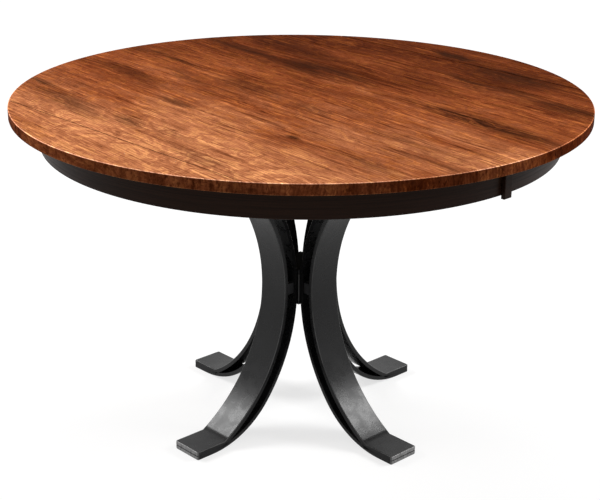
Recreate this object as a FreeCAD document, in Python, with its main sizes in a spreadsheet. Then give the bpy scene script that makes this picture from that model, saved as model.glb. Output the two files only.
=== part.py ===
import FreeCAD, Part
import math
import os
import Sketcher

# Round dining table with a split hickory top on a forged steel pedestal.
# Origin on the floor under the centre of the pedestal, +Z up, millimetres.
# The seam of the top runs along Y, and the two halves slide apart along X.
# The right half lies at +X. The left half is the same half turned by half a turn.

# Driving dimensions
SIZES = {
    # Top
    "top_radius": 609.6,
    "table_height": 736.6,
    "top_thickness": 22.4,
    "top_edge_bevel": 1.8,
    "seam_gap": 0.5,
    # Apron ring and the battens over its seams
    "apron_setback": 60.6,
    "apron_thickness": 19.0,
    "apron_depth": 65.0,
    "apron_edge_round": 2.0,
    "batten_width": 21.0,
    "batten_lap": 3.0,
    "batten_proud": 9.0,
    "batten_drop": 6.0,
    "batten_play": 0.4,
    "batten_edge_round": 1.0,
    # Glue blocks between the apron and the top
    "block_length": 70.0,
    "block_height": 38.0,
    "block_thickness": 20.0,
    # Leaf pins in the seam edges
    "pin_radius": 4.75,
    "pin_depth": 26.0,
    "pin_reach": 13.0,
    "pin_tip": 3.0,
    "pin_tip_radius": 3.0,
    "pin_play": 0.5,
    "near_pin_place": 110.0,
    "far_pin_setback": 129.6,
    # Free play round a fastener that is held tight
    "snug_play": 0.1,
    # Bent flat bars of the pedestal
    "bar_width": 76.2,
    "bar_thickness": 9.525,
    "bar_edge_round": 1.6,
    "bar_gap": 19.0,
    "crease_radius": 252.5,
    "crease_round": 3.0,
    "toe_length": 76.0,
    "heel_lead": 35.5,
    # Hub, spacers and welds
    "hub_height": 82.0,
    "hub_corner": 1.0,
    "spacer_height": 25.4,
    "spacer_inset": 3.0,
    "weld_length": 60.0,
    "weld_leg": 2.85,
    # Mounting board and the bolts through the top toes
    "board_margin": 5.5,
    "board_thickness": 19.0,
    "board_corner": 175.0,
    "bolt_radius": 4.0,
    "bolt_play": 0.3,
    "bolt_setback": 36.5,
    "bolt_spread": 38.0,
    "bolt_head_radius": 7.5,
    "bolt_head_height": 5.5,
    "nut_height": 6.5,
    "bolt_tail": 2.0,
    # Slide rails, in the space between the board and the top
    "slide_height": 52.6,
    "half_travel": 317.5,
    "rail_width": 30.0,
    "rail_play": 5.5,
    "rail_side_play": 1.0,
    "rail_relief": 1.0,
    "rail_overlap": 290.0,
    "rail_nut_gap": 41.0,
    "rail_end_gap": 74.5,
    "tongue_length": 250.0,
    "tongue_height": 12.0,
    "tongue_reach": 9.0,
    "tongue_play": 0.5,
    "stop_length": 8.0,
    "stop_play": 0.5,
    "stop_margin": 14.0,
    # Wood screws of the slides
    "screw_radius": 2.5,
    "screw_head_radius": 4.5,
    "screw_head_height": 3.0,
    "screw_bite": 12.0,
    "rail_screw_place": 70.0,
    "rail_screw_setback": 65.0,
    "fixed_screw_pitch": 160.0,
    # Racks and pinion that make both halves move alike
    "gear_module": 3.175,
    "gear_thickness": 12.0,
    "gear_backlash": 0.8,
    "gear_web": 9.0,
    "rack_tail": 80.0,
    "rack_block_start": 10.0,
    "rack_block_length": 50.0,
    "rack_block_width": 26.0,
    "post_radius": 12.0,
    "washer_play": 0.3,
    "axle_radius": 5.0,
    "axle_play": 0.08,
    "axle_head_radius": 9.5,
    "axle_head_height": 6.0,
    "axle_head_gap": 8.0,
    # Table locks under the seam
    "lock_shift": 43.25,
    "lock_setback": 32.0,
    "lock_plate_length": 44.0,
    "lock_plate_width": 34.0,
    "lock_plate_thickness": 3.0,
    "lock_play": 0.3,
    "lock_stud_radius": 4.0,
    "lock_stud_play": 0.08,
    "lock_head_radius": 8.0,
    "lock_head_height": 2.0,
    "lever_width": 22.0,
    "lever_thickness": 4.0,
    "lever_tail": 26.0,
    "lever_tab": 12.0,
    "keeper_radius": 4.0,
    "keeper_play": 0.6,
    # How far cutting shapes run past what they cut
    "overrun": 5.0,
}

# Counts, angles and shares
GEAR_TEETH = 16
PRESSURE_ANGLE = 20.0
ADDENDUM_SHARE = 0.9
DEDENDUM_SHARE = 1.25
FLANK_STEPS = 5
RAIL_SCREWS = 3
QUARTER_TURN = 90
HALF_TURN = 180
FULL_TURN = 360
LEFT = 1
RIGHT = -1
LEG_TURNS = {"right": 0, "back": 90, "left": 180, "front": 270}
BLOCK_ANGLES = (-67.5, -22.5, 22.5, 67.5)
MATCH_SHARE = 0.01
RACK_SCREW_SHARES = (-0.26, 0.26)
BOARD_EDGE_SHARES = (0.0, 0.215, 0.395, 0.61, 0.795, 1.0)

# Sizes worked out from the driving ones
DERIVED = {
    "top_underside": "table_height - top_thickness",
    "apron_radius": "top_radius - apron_setback",
    "apron_inner_radius": "apron_radius - apron_thickness",
    "apron_bottom": "top_underside - apron_depth",
    "seam_edge": "seam_gap / 2",
    "board_span": "top_radius - seam_edge",
    "far_pin_place": "top_radius - far_pin_setback",
    "board_top": "top_underside - slide_height",
    "base_height": "board_top - board_thickness",
    "half_width": "bar_width / 2",
    # Bend of the legs, seen from the side: radius from the table's axis against height
    "toe_thickness": "2 * bar_thickness",
    "toe_radius": "crease_radius + toe_length",
    "hub_half": "half_width + weld_leg",
    "waist_radius": "hub_half + toe_thickness + bar_gap",
    "waist_height": "base_height / 2",
    "crease_drop": "waist_height - toe_thickness",
    "crease_spread": "crease_radius - waist_radius",
    "bend_radius": "(crease_drop^2 + crease_spread^2) / (2 * crease_spread)",
    "bend_centre": "waist_radius + bend_radius",
    # Small arc in the crease, tangent to the toe and to the bend
    "crease_arc_bend": "bend_radius - crease_round",
    "crease_arc_drop": "crease_drop - crease_round",
    "crease_arc_offset": "sqrt(crease_arc_bend^2 - crease_arc_drop^2)",
    "crease_arc_place": "bend_centre - crease_arc_offset",
    "crease_join_radius": "bend_centre - crease_arc_offset * bend_radius / crease_arc_bend",
    "crease_join_drop": "crease_arc_drop * bend_radius / crease_arc_bend",
    # Faces behind the bend
    "outer_back_bend": "bend_radius + bar_thickness",
    "inner_face_bend": "outer_back_bend + bar_gap",
    "inner_back_bend": "inner_face_bend + bar_thickness",
    "under_crease_drop": "waist_height - bar_thickness",
    "under_crease_radius": "bend_centre - sqrt(outer_back_bend^2 - under_crease_drop^2)",
    # Heel of the inner bar, tangent to the floor and to the bend
    "heel_start": "crease_radius + heel_lead",
    "heel_offset": "bend_centre - heel_start",
    "heel_reach": "inner_back_bend^2 - heel_offset^2 - waist_height^2",
    "heel_bend": "heel_reach / (2 * (inner_back_bend - waist_height))",
    "heel_top_bend": "heel_bend - bar_thickness",
    "heel_rise": "waist_height - heel_bend",
    "heel_span": "inner_back_bend - heel_bend",
    "heel_join_radius": "bend_centre - heel_offset * inner_back_bend / heel_span",
    "heel_join_drop": "heel_rise * inner_back_bend / heel_span",
    "heel_top_join_radius": "bend_centre - heel_offset * inner_face_bend / heel_span",
    "heel_top_join_drop": "heel_rise * inner_face_bend / heel_span",
    # Waist
    "half_spacer": "spacer_height / 2",
    "spacer_back": "bend_centre - sqrt(inner_face_bend^2 - half_spacer^2)",
    "spacer_front": "bend_centre - outer_back_bend",
    "spacer_width": "bar_width - 2 * spacer_inset",
    # Board and rails
    "board_half": "toe_radius + board_margin",
    "bolt_place": "toe_radius - bolt_setback",
    "rail_depth": "slide_height - rail_play",
    "rail_half": "rail_width / 2",
    "rail_floor": "top_underside - rail_depth",
    "rail_pitch": "rail_width + rail_side_play",
    "rail_spacing": "bolt_place - bolt_head_radius - rail_nut_gap - rail_half - rail_pitch",
    "rail_outside": "rail_spacing + rail_pitch + rail_half",
    "rail_reach": "sqrt(apron_inner_radius^2 - rail_outside^2) - rail_end_gap",
    "rail_screw_span": "rail_reach - rail_screw_place - rail_screw_setback",
    "tongue_middle": "(board_top + top_underside) / 2",
    "tongue_half": "tongue_height / 2",
    "groove_half": "tongue_half + tongue_play",
    "groove_depth": "tongue_reach + tongue_play - rail_side_play",
    "stop_place": "tongue_length - rail_overlap + half_travel + stop_play",
    "fixed_rail_half": "stop_place + stop_length + stop_margin",
    # Racks, pinion and axle
    "pitch_radius": "gear_module * %d / 2" % GEAR_TEETH,
    "tooth_pitch": "gear_module * pi",
    "root_radius": "pitch_radius - %s * gear_module" % DEDENDUM_SHARE,
    "tip_radius": "pitch_radius + %s * gear_module" % ADDENDUM_SHARE,
    "axle_head_floor": "top_underside - axle_head_gap - axle_head_height",
    "post_height": "axle_head_floor - gear_thickness - 2 * washer_play - board_top",
    "gear_floor": "board_top + post_height + washer_play",
    "gear_roof": "gear_floor + gear_thickness",
    "rack_root": "pitch_radius + %s * gear_module" % DEDENDUM_SHARE,
    "rack_tip": "pitch_radius - %s * gear_module" % ADDENDUM_SHARE,
    "rack_back": "rack_root + gear_web",
    "rack_start": "-half_travel - 2 * tooth_pitch",
    "rack_length": "rack_tail - rack_start",
    "rack_gaps": "floor(rack_length / tooth_pitch)",
    "first_rack_gap": "tooth_pitch * floor(rack_start / tooth_pitch + 1)",
    "rack_block_middle": "rack_block_start + rack_block_length / 2",
    "rack_block_height": "top_underside - gear_roof",
    # Locks
    "lock_place": "(rail_outside + apron_inner_radius) / 2 + lock_shift",
    "lock_reach": "2 * lock_setback",
    "lever_roof": "top_underside - lock_plate_thickness - lock_play",
    "lever_floor": "lever_roof - lever_thickness",
    "lock_head_roof": "lever_floor - lock_play",
    "lever_half": "lever_width / 2",
    "keeper_slot": "keeper_radius + keeper_play",
}

doc = FreeCAD.newDocument("split_top_pedestal_table")
sheet = doc.addObject("Spreadsheet::Sheet", "sizes")
for row, (alias, content) in enumerate(list(SIZES.items()) + list(DERIVED.items()), 1):
    sheet.set("A%d" % row, alias)
    sheet.set("B%d" % row, "=" + content if alias in DERIVED else str(content))
    sheet.setAlias("B%d" % row, alias)
doc.recompute()

nodes = {}


# Helpers

def of_sheet(formula):
    """Name the sheet in front of every size in a formula."""
    words = []
    word = ""
    for letter in formula + " ":
        if letter.isalnum() or letter in "_.":
            word += letter
            continue
        words.append("sizes." + word if word in SIZES or word in DERIVED else word)
        words.append(letter)
        word = ""
    return "".join(words).strip()


def measure(formula):
    """Value of a formula in the sizes of the sheet."""
    return float(sheet.evalExpression(of_sheet(formula)))


def bind(item, **formulas):
    """Bind properties of an object to formulas."""
    for name, formula in formulas.items():
        item.setExpression(name, of_sheet(formula))
    return item


def place(item, x="0", y="0", z="0", turn=0):
    """Put an object at x, y, z and carry it round the table's axis by a number of degrees."""
    across = {0: (x, y), 90: ("-(%s)" % y, x), 180: ("-(%s)" % x, "-(%s)" % y), 270: (y, "-(%s)" % x)}[turn]
    rotation = FreeCAD.Rotation(FreeCAD.Vector(0, 0, 1), turn) * item.Placement.Rotation
    item.Placement = FreeCAD.Placement(FreeCAD.Vector(), rotation)
    for path, formula in zip(("x", "y", "z"), across + (z,)):
        item.setExpression(".Placement.Base." + path, of_sheet(formula))
    return item


def keep(name, item):
    """Make an object one of the table's pieces."""
    item.Label = name
    nodes[name] = item
    return item


def box(name, x, y, z, length, width, height):
    item = doc.addObject("Part::Box", name)
    bind(item, Length=length, Width=width, Height=height)
    return place(item, x, y, z)


def cylinder(name, x, y, z, radius, height, lying=False):
    """A cylinder that stands on x, y, z or, lying, runs from there along +X."""
    item = doc.addObject("Part::Cylinder", name)
    if lying:
        item.Placement.Rotation = FreeCAD.Rotation(FreeCAD.Vector(0, 1, 0), QUARTER_TURN)
    bind(item, Radius=radius, Height=height)
    return place(item, x, y, z)


def hexagon(name, x, y, z, radius, height):
    item = doc.addObject("Part::Prism", name)
    bind(item, Circumradius=radius, Height=height)
    return place(item, x, y, z)


def cut(name, base, tool):
    item = doc.addObject("Part::Cut", name)
    item.Base = base
    item.Tool = tool
    return item


def common(name, base, tool):
    item = doc.addObject("Part::Common", name)
    item.Base = base
    item.Tool = tool
    return item


def fuse(name, shapes):
    item = doc.addObject("Part::MultiFuse", name)
    item.Shapes = shapes
    return item


def group(name, links):
    item = doc.addObject("Part::Compound", name)
    item.Links = links
    return item


def draw_outline(sketch, corners):
    """Draw a closed outline and bind its corners.

    A corner is (x, y) before a straight side, or (x, y, radius, turn) before an arc that
    turns LEFT or RIGHT on its way to the next corner.
    """
    points = [FreeCAD.Vector(measure(corner[0]), measure(corner[1]), 0) for corner in corners]
    sides = []
    for index, corner in enumerate(corners):
        start, finish = points[index], points[(index + 1) % len(corners)]
        if len(corner) == 2:
            side = sketch.addGeometry(Part.LineSegment(start, finish))
            sides.append((side, 1, 2))
            continue
        radius, turn = measure(corner[2]), corner[3]
        chord = finish - start
        leftward = FreeCAD.Vector(-chord.y, chord.x, 0) / chord.Length
        rise = math.sqrt(max(radius ** 2 - (chord.Length / 2) ** 2, 0))
        centre = (start + finish) / 2 + leftward * rise * turn
        first, last = (start, finish) if turn > 0 else (finish, start)
        angles = [math.atan2(end.y - centre.y, end.x - centre.x) for end in (first, last)]
        circle = Part.Circle(centre, FreeCAD.Vector(0, 0, 1), radius)
        side = sketch.addGeometry(Part.ArcOfCircle(circle, angles[0], angles[1]))
        radial = sketch.addConstraint(Sketcher.Constraint("Radius", side, radius))
        sketch.setExpression("Constraints[%d]" % radial, of_sheet(corner[2]))
        sides.append((side, 1, 2) if turn > 0 else (side, 2, 1))
    for index, (side, _, end) in enumerate(sides):
        following, begin, _ = sides[(index + 1) % len(sides)]
        sketch.addConstraint(Sketcher.Constraint("Coincident", side, end, following, begin))
    for (side, begin, _), corner, point in zip(sides, corners, points):
        for kind, formula, value in (("DistanceX", corner[0], point.x), ("DistanceY", corner[1], point.y)):
            number = sketch.addConstraint(Sketcher.Constraint(kind, -1, 1, side, begin, value))
            sketch.setExpression("Constraints[%d]" % number, of_sheet(formula))


def own(body, role):
    """One of the planes or axes of a body's own origin."""
    return next(item for item in body.Origin.OriginFeatures if item.Role == role)


def new_sketch(body, role, name):
    """A sketch on one of the body's own planes."""
    sketch = body.newObject("Sketcher::SketchObject", name)
    sketch.AttachmentSupport = [(own(body, role), "")]
    sketch.MapMode = "FlatFace"
    return sketch


def padded(name, role, corners, length, symmetric=False):
    """A body made by extruding an outline, from its plane or to both sides of it."""
    body = doc.addObject("PartDesign::Body", name)
    sketch = new_sketch(body, role, name + "_sketch")
    draw_outline(sketch, corners)
    pad = body.newObject("PartDesign::Pad", name + "_pad")
    pad.Profile = sketch
    pad.SideType = "Symmetric" if symmetric else "One side"
    bind(pad, Length=length)
    return body


def turned(name, corners, angle=FULL_TURN):
    """A body made by turning an outline about the Z axis, from the middle at +X if not all round."""
    body = doc.addObject("PartDesign::Body", name)
    sketch = new_sketch(body, "XZ_Plane", name + "_sketch")
    draw_outline(sketch, corners)
    revolution = body.newObject("PartDesign::Revolution", name + "_turned")
    revolution.Profile = sketch
    revolution.ReferenceAxis = (sketch, ["V_Axis"])
    revolution.Angle = angle
    revolution.Midplane = angle < FULL_TURN
    return body


def round_edges(body, wanted, radius):
    """Round the edges of a body's last feature that pass a test on three of their points."""
    doc.recompute()
    tip = body.Tip
    names = []
    for number, edge in enumerate(tip.Shape.Edges, 1):
        first, last = edge.ParameterRange
        points = [edge.valueAt(first + (last - first) * share) for share in (0.0, 0.5, 1.0)]
        if all(wanted(point) for point in points):
            names.append("Edge%d" % number)
    if not names:
        raise RuntimeError("no edges to round on " + body.Name)
    fillet = body.newObject("PartDesign::Fillet", body.Name + "_round")
    fillet.Base = (tip, names)
    bind(fillet, Radius=radius)
    return body


def near(value, formula):
    """Whether a value agrees with a formula to a small share of the seam gap."""
    return abs(value - measure(formula)) < measure("seam_gap") * MATCH_SHARE


def copied(name, item, x="0", y="0", z="0", turn=0):
    """A copy of an object, moved and then carried round the table's axis."""
    return place(group(name, [item]), x, y, z, turn)


def keep_pair(right_name, left_name, item):
    """Keep a piece of the right half, and its twin on the left half."""
    keep(right_name, item)
    keep(left_name, copied(left_name, item, turn=HALF_TURN))


# Pedestal: the bent bars, drawn from the side in the plane of the leg at +X

def add_outer_bar():
    """The bar that shows its face outward: toe, crease, long bend, crease and top toe."""
    blank = padded("outer_bar_blank", "XZ_Plane", [
        ("toe_radius", "bar_thickness"),
        ("toe_radius", "toe_thickness"),
        ("crease_arc_place", "toe_thickness", "crease_round", RIGHT),
        ("crease_join_radius", "waist_height - crease_join_drop", "bend_radius", RIGHT),
        ("crease_join_radius", "waist_height + crease_join_drop", "crease_round", RIGHT),
        ("crease_arc_place", "base_height - toe_thickness"),
        ("toe_radius", "base_height - toe_thickness"),
        ("toe_radius", "base_height - bar_thickness"),
        ("under_crease_radius", "base_height - bar_thickness", "outer_back_bend", LEFT),
        ("under_crease_radius", "bar_thickness"),
    ], "bar_width", symmetric=True)

    def on_face(point):
        reach = math.hypot(point.x - measure("bend_centre"), point.z - measure("waist_height"))
        on_toe = near(point.z, "toe_thickness") or near(point.z, "base_height - toe_thickness")
        at_side = near(abs(point.y), "half_width")
        return at_side and (on_toe or near(reach, "bend_radius")) or on_toe and near(point.x, "toe_radius")

    return round_edges(blank, on_face, "bar_edge_round")


def add_inner_bar(outer_bar):
    """The bar that stands on the floor: flat toe, round heel and long bend, let in behind the outer bar."""
    blank = padded("inner_bar_blank", "XZ_Plane", [
        ("toe_radius", "0"),
        ("toe_radius", "bar_thickness"),
        ("heel_start", "bar_thickness", "heel_top_bend", RIGHT),
        ("heel_top_join_radius", "waist_height - heel_top_join_drop", "inner_face_bend", RIGHT),
        ("heel_top_join_radius", "waist_height + heel_top_join_drop", "heel_top_bend", RIGHT),
        ("heel_start", "base_height - bar_thickness"),
        ("toe_radius", "base_height - bar_thickness"),
        ("toe_radius", "base_height"),
        ("heel_start", "base_height", "heel_bend", LEFT),
        ("heel_join_radius", "waist_height + heel_join_drop", "inner_back_bend", LEFT),
        ("heel_join_radius", "waist_height - heel_join_drop", "heel_bend", LEFT),
        ("heel_start", "0"),
    ], "bar_width", symmetric=True)

    def on_back(point):
        reach = math.hypot(point.x - measure("bend_centre"), point.z - measure("waist_height"))
        return near(abs(point.y), "half_width") and near(reach, "inner_back_bend")

    return cut("inner_bar_let_in", round_edges(blank, on_back, "bar_edge_round"), outer_bar)


def on_bolt_places(name, item):
    """Copies of an object at the two bolts of the leg at +X."""
    spots = ("-bolt_spread / 2", "bolt_spread / 2")
    return group(name, [copied(name + str(i), item, "bolt_place", y) for i, y in enumerate(spots, 1)])


def on_all_legs(name, item):
    """One copy of an object for each leg."""
    return group(name, [copied(name + leg, item, turn=turn) for leg, turn in LEG_TURNS.items()])


def add_pedestal():
    """Four double legs, their spacers, and the hub that they are welded to."""
    outer_bar = add_outer_bar()
    inner_bar = add_inner_bar(outer_bar)
    hole = cylinder("toe_bolt_hole", "0", "0", "base_height - toe_thickness - overrun",
                    "bolt_radius + bolt_play", "toe_thickness + 2 * overrun")
    toe_holes = on_bolt_places("toe_bolt_holes", hole)
    spacer = box("waist_spacer", "spacer_back", "-spacer_width / 2", "waist_height - half_spacer",
                 "spacer_front - spacer_back", "spacer_width", "spacer_height")
    pieces = {
        "outer_bar_": cut("outer_bar_drilled", outer_bar, toe_holes),
        "inner_bar_": cut("inner_bar_drilled", inner_bar, toe_holes),
        "spacer_": spacer,
    }
    for stem, piece in pieces.items():
        for leg, turn in LEG_TURNS.items():
            keep(stem + leg, copied(stem + leg, piece, turn=turn))

    corner = "hub_half - hub_corner"
    hub = padded("hub_block", "XY_Plane", [
        ("hub_half", "-(%s)" % corner), ("hub_half", corner, "hub_corner", LEFT),
        (corner, "hub_half"), ("-(%s)" % corner, "hub_half", "hub_corner", LEFT),
        ("-hub_half", corner), ("-hub_half", "-(%s)" % corner, "hub_corner", LEFT),
        ("-(%s)" % corner, "-hub_half"), (corner, "-hub_half", "hub_corner", LEFT),
    ], "hub_height")
    keep("hub", place(hub, z="waist_height - hub_height / 2"))

    beads = []
    for side, sign in (("left", ""), ("right", "-")):
        bead = padded("weld_bead_" + side, "XY_Plane", [
            ("hub_half", sign + "half_width"),
            ("hub_half + weld_leg", sign + "half_width"),
            ("hub_half", sign + "hub_half"),
        ], "weld_length")
        beads.append(place(bead, z="waist_height - weld_length / 2"))
    keep("weld_beads", on_all_legs("weld_beads", group("leg_weld_beads", beads)))


# Mounting board on the top toes, with its bolts

def add_bolts():
    """Bolts up through the top toes and the board, and the nuts on them."""
    head_floor = "base_height - toe_thickness - bolt_head_height"
    shank = cylinder("bolt_shank", "0", "0", head_floor, "bolt_radius",
                     "board_top + nut_height + bolt_tail - (%s)" % head_floor)
    head = hexagon("bolt_head", "0", "0", head_floor, "bolt_head_radius", "bolt_head_height")
    bolt = fuse("pedestal_bolt", [shank, head])
    nut = threaded_nut("pedestal_nut", "board_top", "bolt_head_radius", "nut_height", "bolt_radius")
    keep("pedestal_bolts", on_all_legs("pedestal_bolts", on_bolt_places("leg_bolts", bolt)))
    keep("pedestal_nuts", on_all_legs("pedestal_nuts", on_bolt_places("leg_nuts", nut)))


def threaded_nut(name, z, outside, height, bolt):
    """A hexagon nut on a bolt that stands on the Z axis."""
    blank = hexagon(name + "_blank", "0", "0", z, outside, height)
    bore = cylinder(name + "_bore", "0", "0", z, bolt + " + snug_play", height)
    return cut(name, blank, bore)


def add_board(screw_holes):
    """Wooden board that carries the fixed rails, drilled for the bolts, the axle and the screws."""
    side, corner = "board_half", "board_half - board_corner"
    blank = padded("mounting_board_blank", "XY_Plane", [
        (side, "-(%s)" % corner), (side, corner, "board_corner", LEFT),
        (corner, side), ("-(%s)" % corner, side, "board_corner", LEFT),
        ("-" + side, corner), ("-" + side, "-(%s)" % corner, "board_corner", LEFT),
        ("-(%s)" % corner, "-" + side), (corner, "-" + side, "board_corner", LEFT),
    ], "board_thickness")
    place(blank, z="base_height")
    floor, depth = "base_height - overrun", "board_thickness + 2 * overrun"
    bolt_hole = cylinder("board_bolt_hole", "0", "0", floor, "bolt_radius + bolt_play", depth)
    axle_hole = cylinder("board_axle_hole", "0", "0", floor, "axle_radius + bolt_play", depth)
    bolt_holes = on_all_legs("board_bolt_holes", on_bolt_places("board_leg_holes", bolt_hole))
    holes = group("board_holes", [bolt_holes, axle_hole, screw_holes])
    keep("mounting_board", cut("mounting_board", blank, holes))


# Wood screws, heads down and sunk flush

def screws(name, spots, z, grip):
    """Screws that start at height z, pass through a thickness and bite into the piece above.

    Gives the screws, and the holes for them.
    """
    results = []
    for kind, play, extra in (("screws", "0", "0"), ("holes", "snug_play", "overrun")):
        head, shank = "screw_head_radius + " + play, "screw_radius + " + play
        length = "%s + screw_bite + %s" % (grip, play)
        screw = turned("%s_%s_form" % (name, kind), [
            ("0", "-(%s)" % extra), (head, "-(%s)" % extra), (head, "screw_head_height"),
            (shank, "screw_head_height"), (shank, length), ("0", length),
        ])
        copies = [copied("%s_%s_%d" % (name, kind, number), screw, x, y, z)
                  for number, (x, y) in enumerate(spots, 1)]
        results.append(group("%s_%s" % (name, kind), copies))
    return results


# Slide rails

def add_fixed_rails():
    """Two rails on the board, each grooved on both sides, with stops in the grooves."""
    blank = box("fixed_rail_blank", "-fixed_rail_half", "-rail_half", "board_top",
                "2 * fixed_rail_half", "rail_width", "rail_depth")
    grooves = [box("fixed_rail_groove_%d" % number, "-fixed_rail_half - overrun", y,
                   "tongue_middle - groove_half", "2 * (fixed_rail_half + overrun)",
                   "groove_depth + overrun", "2 * groove_half")
               for number, y in enumerate(("rail_half - groove_depth", "-rail_half - overrun"), 1)]
    spots = [("%d * fixed_screw_pitch" % step, "0") for step in (-1, 0, 1)]
    rail_screws, rail_holes = screws("fixed_rail", spots, "base_height", "board_thickness")
    rail = cut("fixed_rail", blank, group("fixed_rail_cuts", grooves + [rail_holes]))
    stop = box("slide_stop", "stop_place", "rail_half - groove_depth", "tongue_middle - groove_half",
               "stop_length", "groove_depth", "2 * groove_half")
    places = {"back": "rail_spacing", "front": "-rail_spacing"}
    groups = {"screws": [], "holes": [], "stops": []}
    for end, y in places.items():
        keep("fixed_rail_" + end, copied("fixed_rail_" + end, rail, y=y))
        groups["screws"].append(copied("fixed_screws_" + end, rail_screws, y=y))
        groups["holes"].append(copied("fixed_holes_" + end, rail_holes, y=y))
        for turn in (0, HALF_TURN):
            groups["stops"].append(copied("slide_stop_%s_%d" % (end, turn), stop, y=y, turn=turn))
    keep("fixed_rail_screws", group("fixed_rail_screws", groups["screws"]))
    keep("slide_stops", group("slide_stops", groups["stops"]))
    return group("board_screw_holes", groups["holes"])


def add_moving_rails():
    """Two rails under each half, with tongues in the fixed rails' grooves. Gives the holes in the top."""
    blank = padded("moving_rail_blank", "XZ_Plane", [
        ("-rail_overlap", "rail_floor"), ("rail_reach", "rail_floor"), ("rail_reach", "top_underside"),
        ("0", "top_underside"), ("0", "top_underside - rail_relief"),
        ("-rail_overlap", "top_underside - rail_relief"),
    ], "rail_width", symmetric=True)
    tongue = box("rail_tongue", "-rail_overlap", "-rail_half - tongue_reach", "tongue_middle - tongue_half",
                 "tongue_length", "tongue_reach", "tongue_height")
    spots = [("rail_screw_place + %d * rail_screw_span / %d" % (step, RAIL_SCREWS - 1), "0")
             for step in range(RAIL_SCREWS)]
    rail_screws, rail_holes = screws("moving_rail", spots, "rail_floor", "rail_depth")
    rail = cut("moving_rail", fuse("moving_rail_with_tongue", [blank, tongue]), rail_holes)
    places = {"back": ("rail_spacing + rail_pitch", "front"), "front": ("rail_pitch - rail_spacing", "back")}
    all_screws, all_holes = [], []
    for end, (y, other_end) in places.items():
        keep_pair("moving_rail_right_" + end, "moving_rail_left_" + other_end,
                  copied("moving_rail_right_" + end, rail, y=y))
        all_screws.append(copied("moving_screws_" + end, rail_screws, y=y))
        all_holes.append(copied("moving_holes_" + end, rail_holes, y=y))
    return all_screws, all_holes


# Racks and pinion

def add_racks():
    """A rack on a block under each half. Gives the right rack's screws and their holes."""
    body = padded("rack_body", "XY_Plane", [
        ("rack_start", "rack_tip"), ("rack_tail", "rack_tip"),
        ("rack_tail", "rack_back"), ("rack_start", "rack_back"),
    ], "gear_thickness")
    gap = new_sketch(body, "XY_Plane", "rack_gap_sketch")
    slope = math.tan(math.radians(PRESSURE_ANGLE))
    floor_half = "tooth_pitch / 4 - %.6f * (rack_root - pitch_radius)" % slope
    mouth_half = "tooth_pitch / 4 + %.6f * (pitch_radius - rack_tip + overrun)" % slope
    draw_outline(gap, [
        ("first_rack_gap - (%s)" % mouth_half, "rack_tip - overrun"),
        ("first_rack_gap + %s" % mouth_half, "rack_tip - overrun"),
        ("first_rack_gap + %s" % floor_half, "rack_root"),
        ("first_rack_gap - (%s)" % floor_half, "rack_root"),
    ])
    pocket = body.newObject("PartDesign::Pocket", "rack_gap")
    pocket.Profile = gap
    pocket.Reversed = True
    bind(pocket, Length="gear_thickness")
    pattern = body.newObject("PartDesign::LinearPattern", "rack_gaps")
    pattern.Originals = [pocket]
    pattern.Direction = (own(body, "X_Axis"), [""])
    bind(pattern, Length="tooth_pitch * (rack_gaps - 1)", Occurrences="rack_gaps")
    body.Tip = pattern
    place(body, z="gear_floor")
    web = "(rack_root + rack_back) / 2"
    spots = [("rack_block_middle + %s * rack_block_length" % share, web) for share in RACK_SCREW_SHARES]
    rack_screws, rack_holes = screws("rack", spots, "gear_floor", "gear_thickness + rack_block_height")
    block = box("rack_block", "rack_block_start", "rack_root", "gear_roof",
                "rack_block_length", "rack_block_width", "rack_block_height")
    keep_pair("rack_right", "rack_left", cut("rack", body, rack_holes))
    keep_pair("rack_block_right", "rack_block_left", cut("rack_block_drilled", block, rack_holes))
    return rack_screws, rack_holes


def involute_point(base_radius, radius, offset):
    """Point at a radius on an involute whose flank is turned back by an angle."""
    roll = math.sqrt(max((radius / base_radius) ** 2 - 1, 0))
    angle = offset - (roll - math.atan(roll))
    return FreeCAD.Vector(radius * math.cos(angle), radius * math.sin(angle), 0)


def tooth_wire():
    """Outline of one pinion tooth that points along +X, from its foot inside the root circle."""
    pitch, root, tip = measure("pitch_radius"), measure("root_radius"), measure("tip_radius")
    base_radius = pitch * math.cos(math.radians(PRESSURE_ANGLE))
    half_angle = (measure("tooth_pitch") / 2 - measure("gear_backlash")) / (2 * pitch)
    offset = half_angle + math.tan(math.radians(PRESSURE_ANGLE)) - math.radians(PRESSURE_ANGLE)
    steps = [base_radius + (tip - base_radius) * step / FLANK_STEPS for step in range(FLANK_STEPS + 1)]
    upper = [involute_point(base_radius, radius, offset) for radius in steps]
    foot = upper[0] * ((root - measure("snug_play")) / base_radius)
    lower = [FreeCAD.Vector(point.x, -point.y, 0) for point in reversed(upper)]
    return Part.makePolygon([foot] + upper + lower + [FreeCAD.Vector(foot.x, -foot.y, 0), foot])


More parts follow.
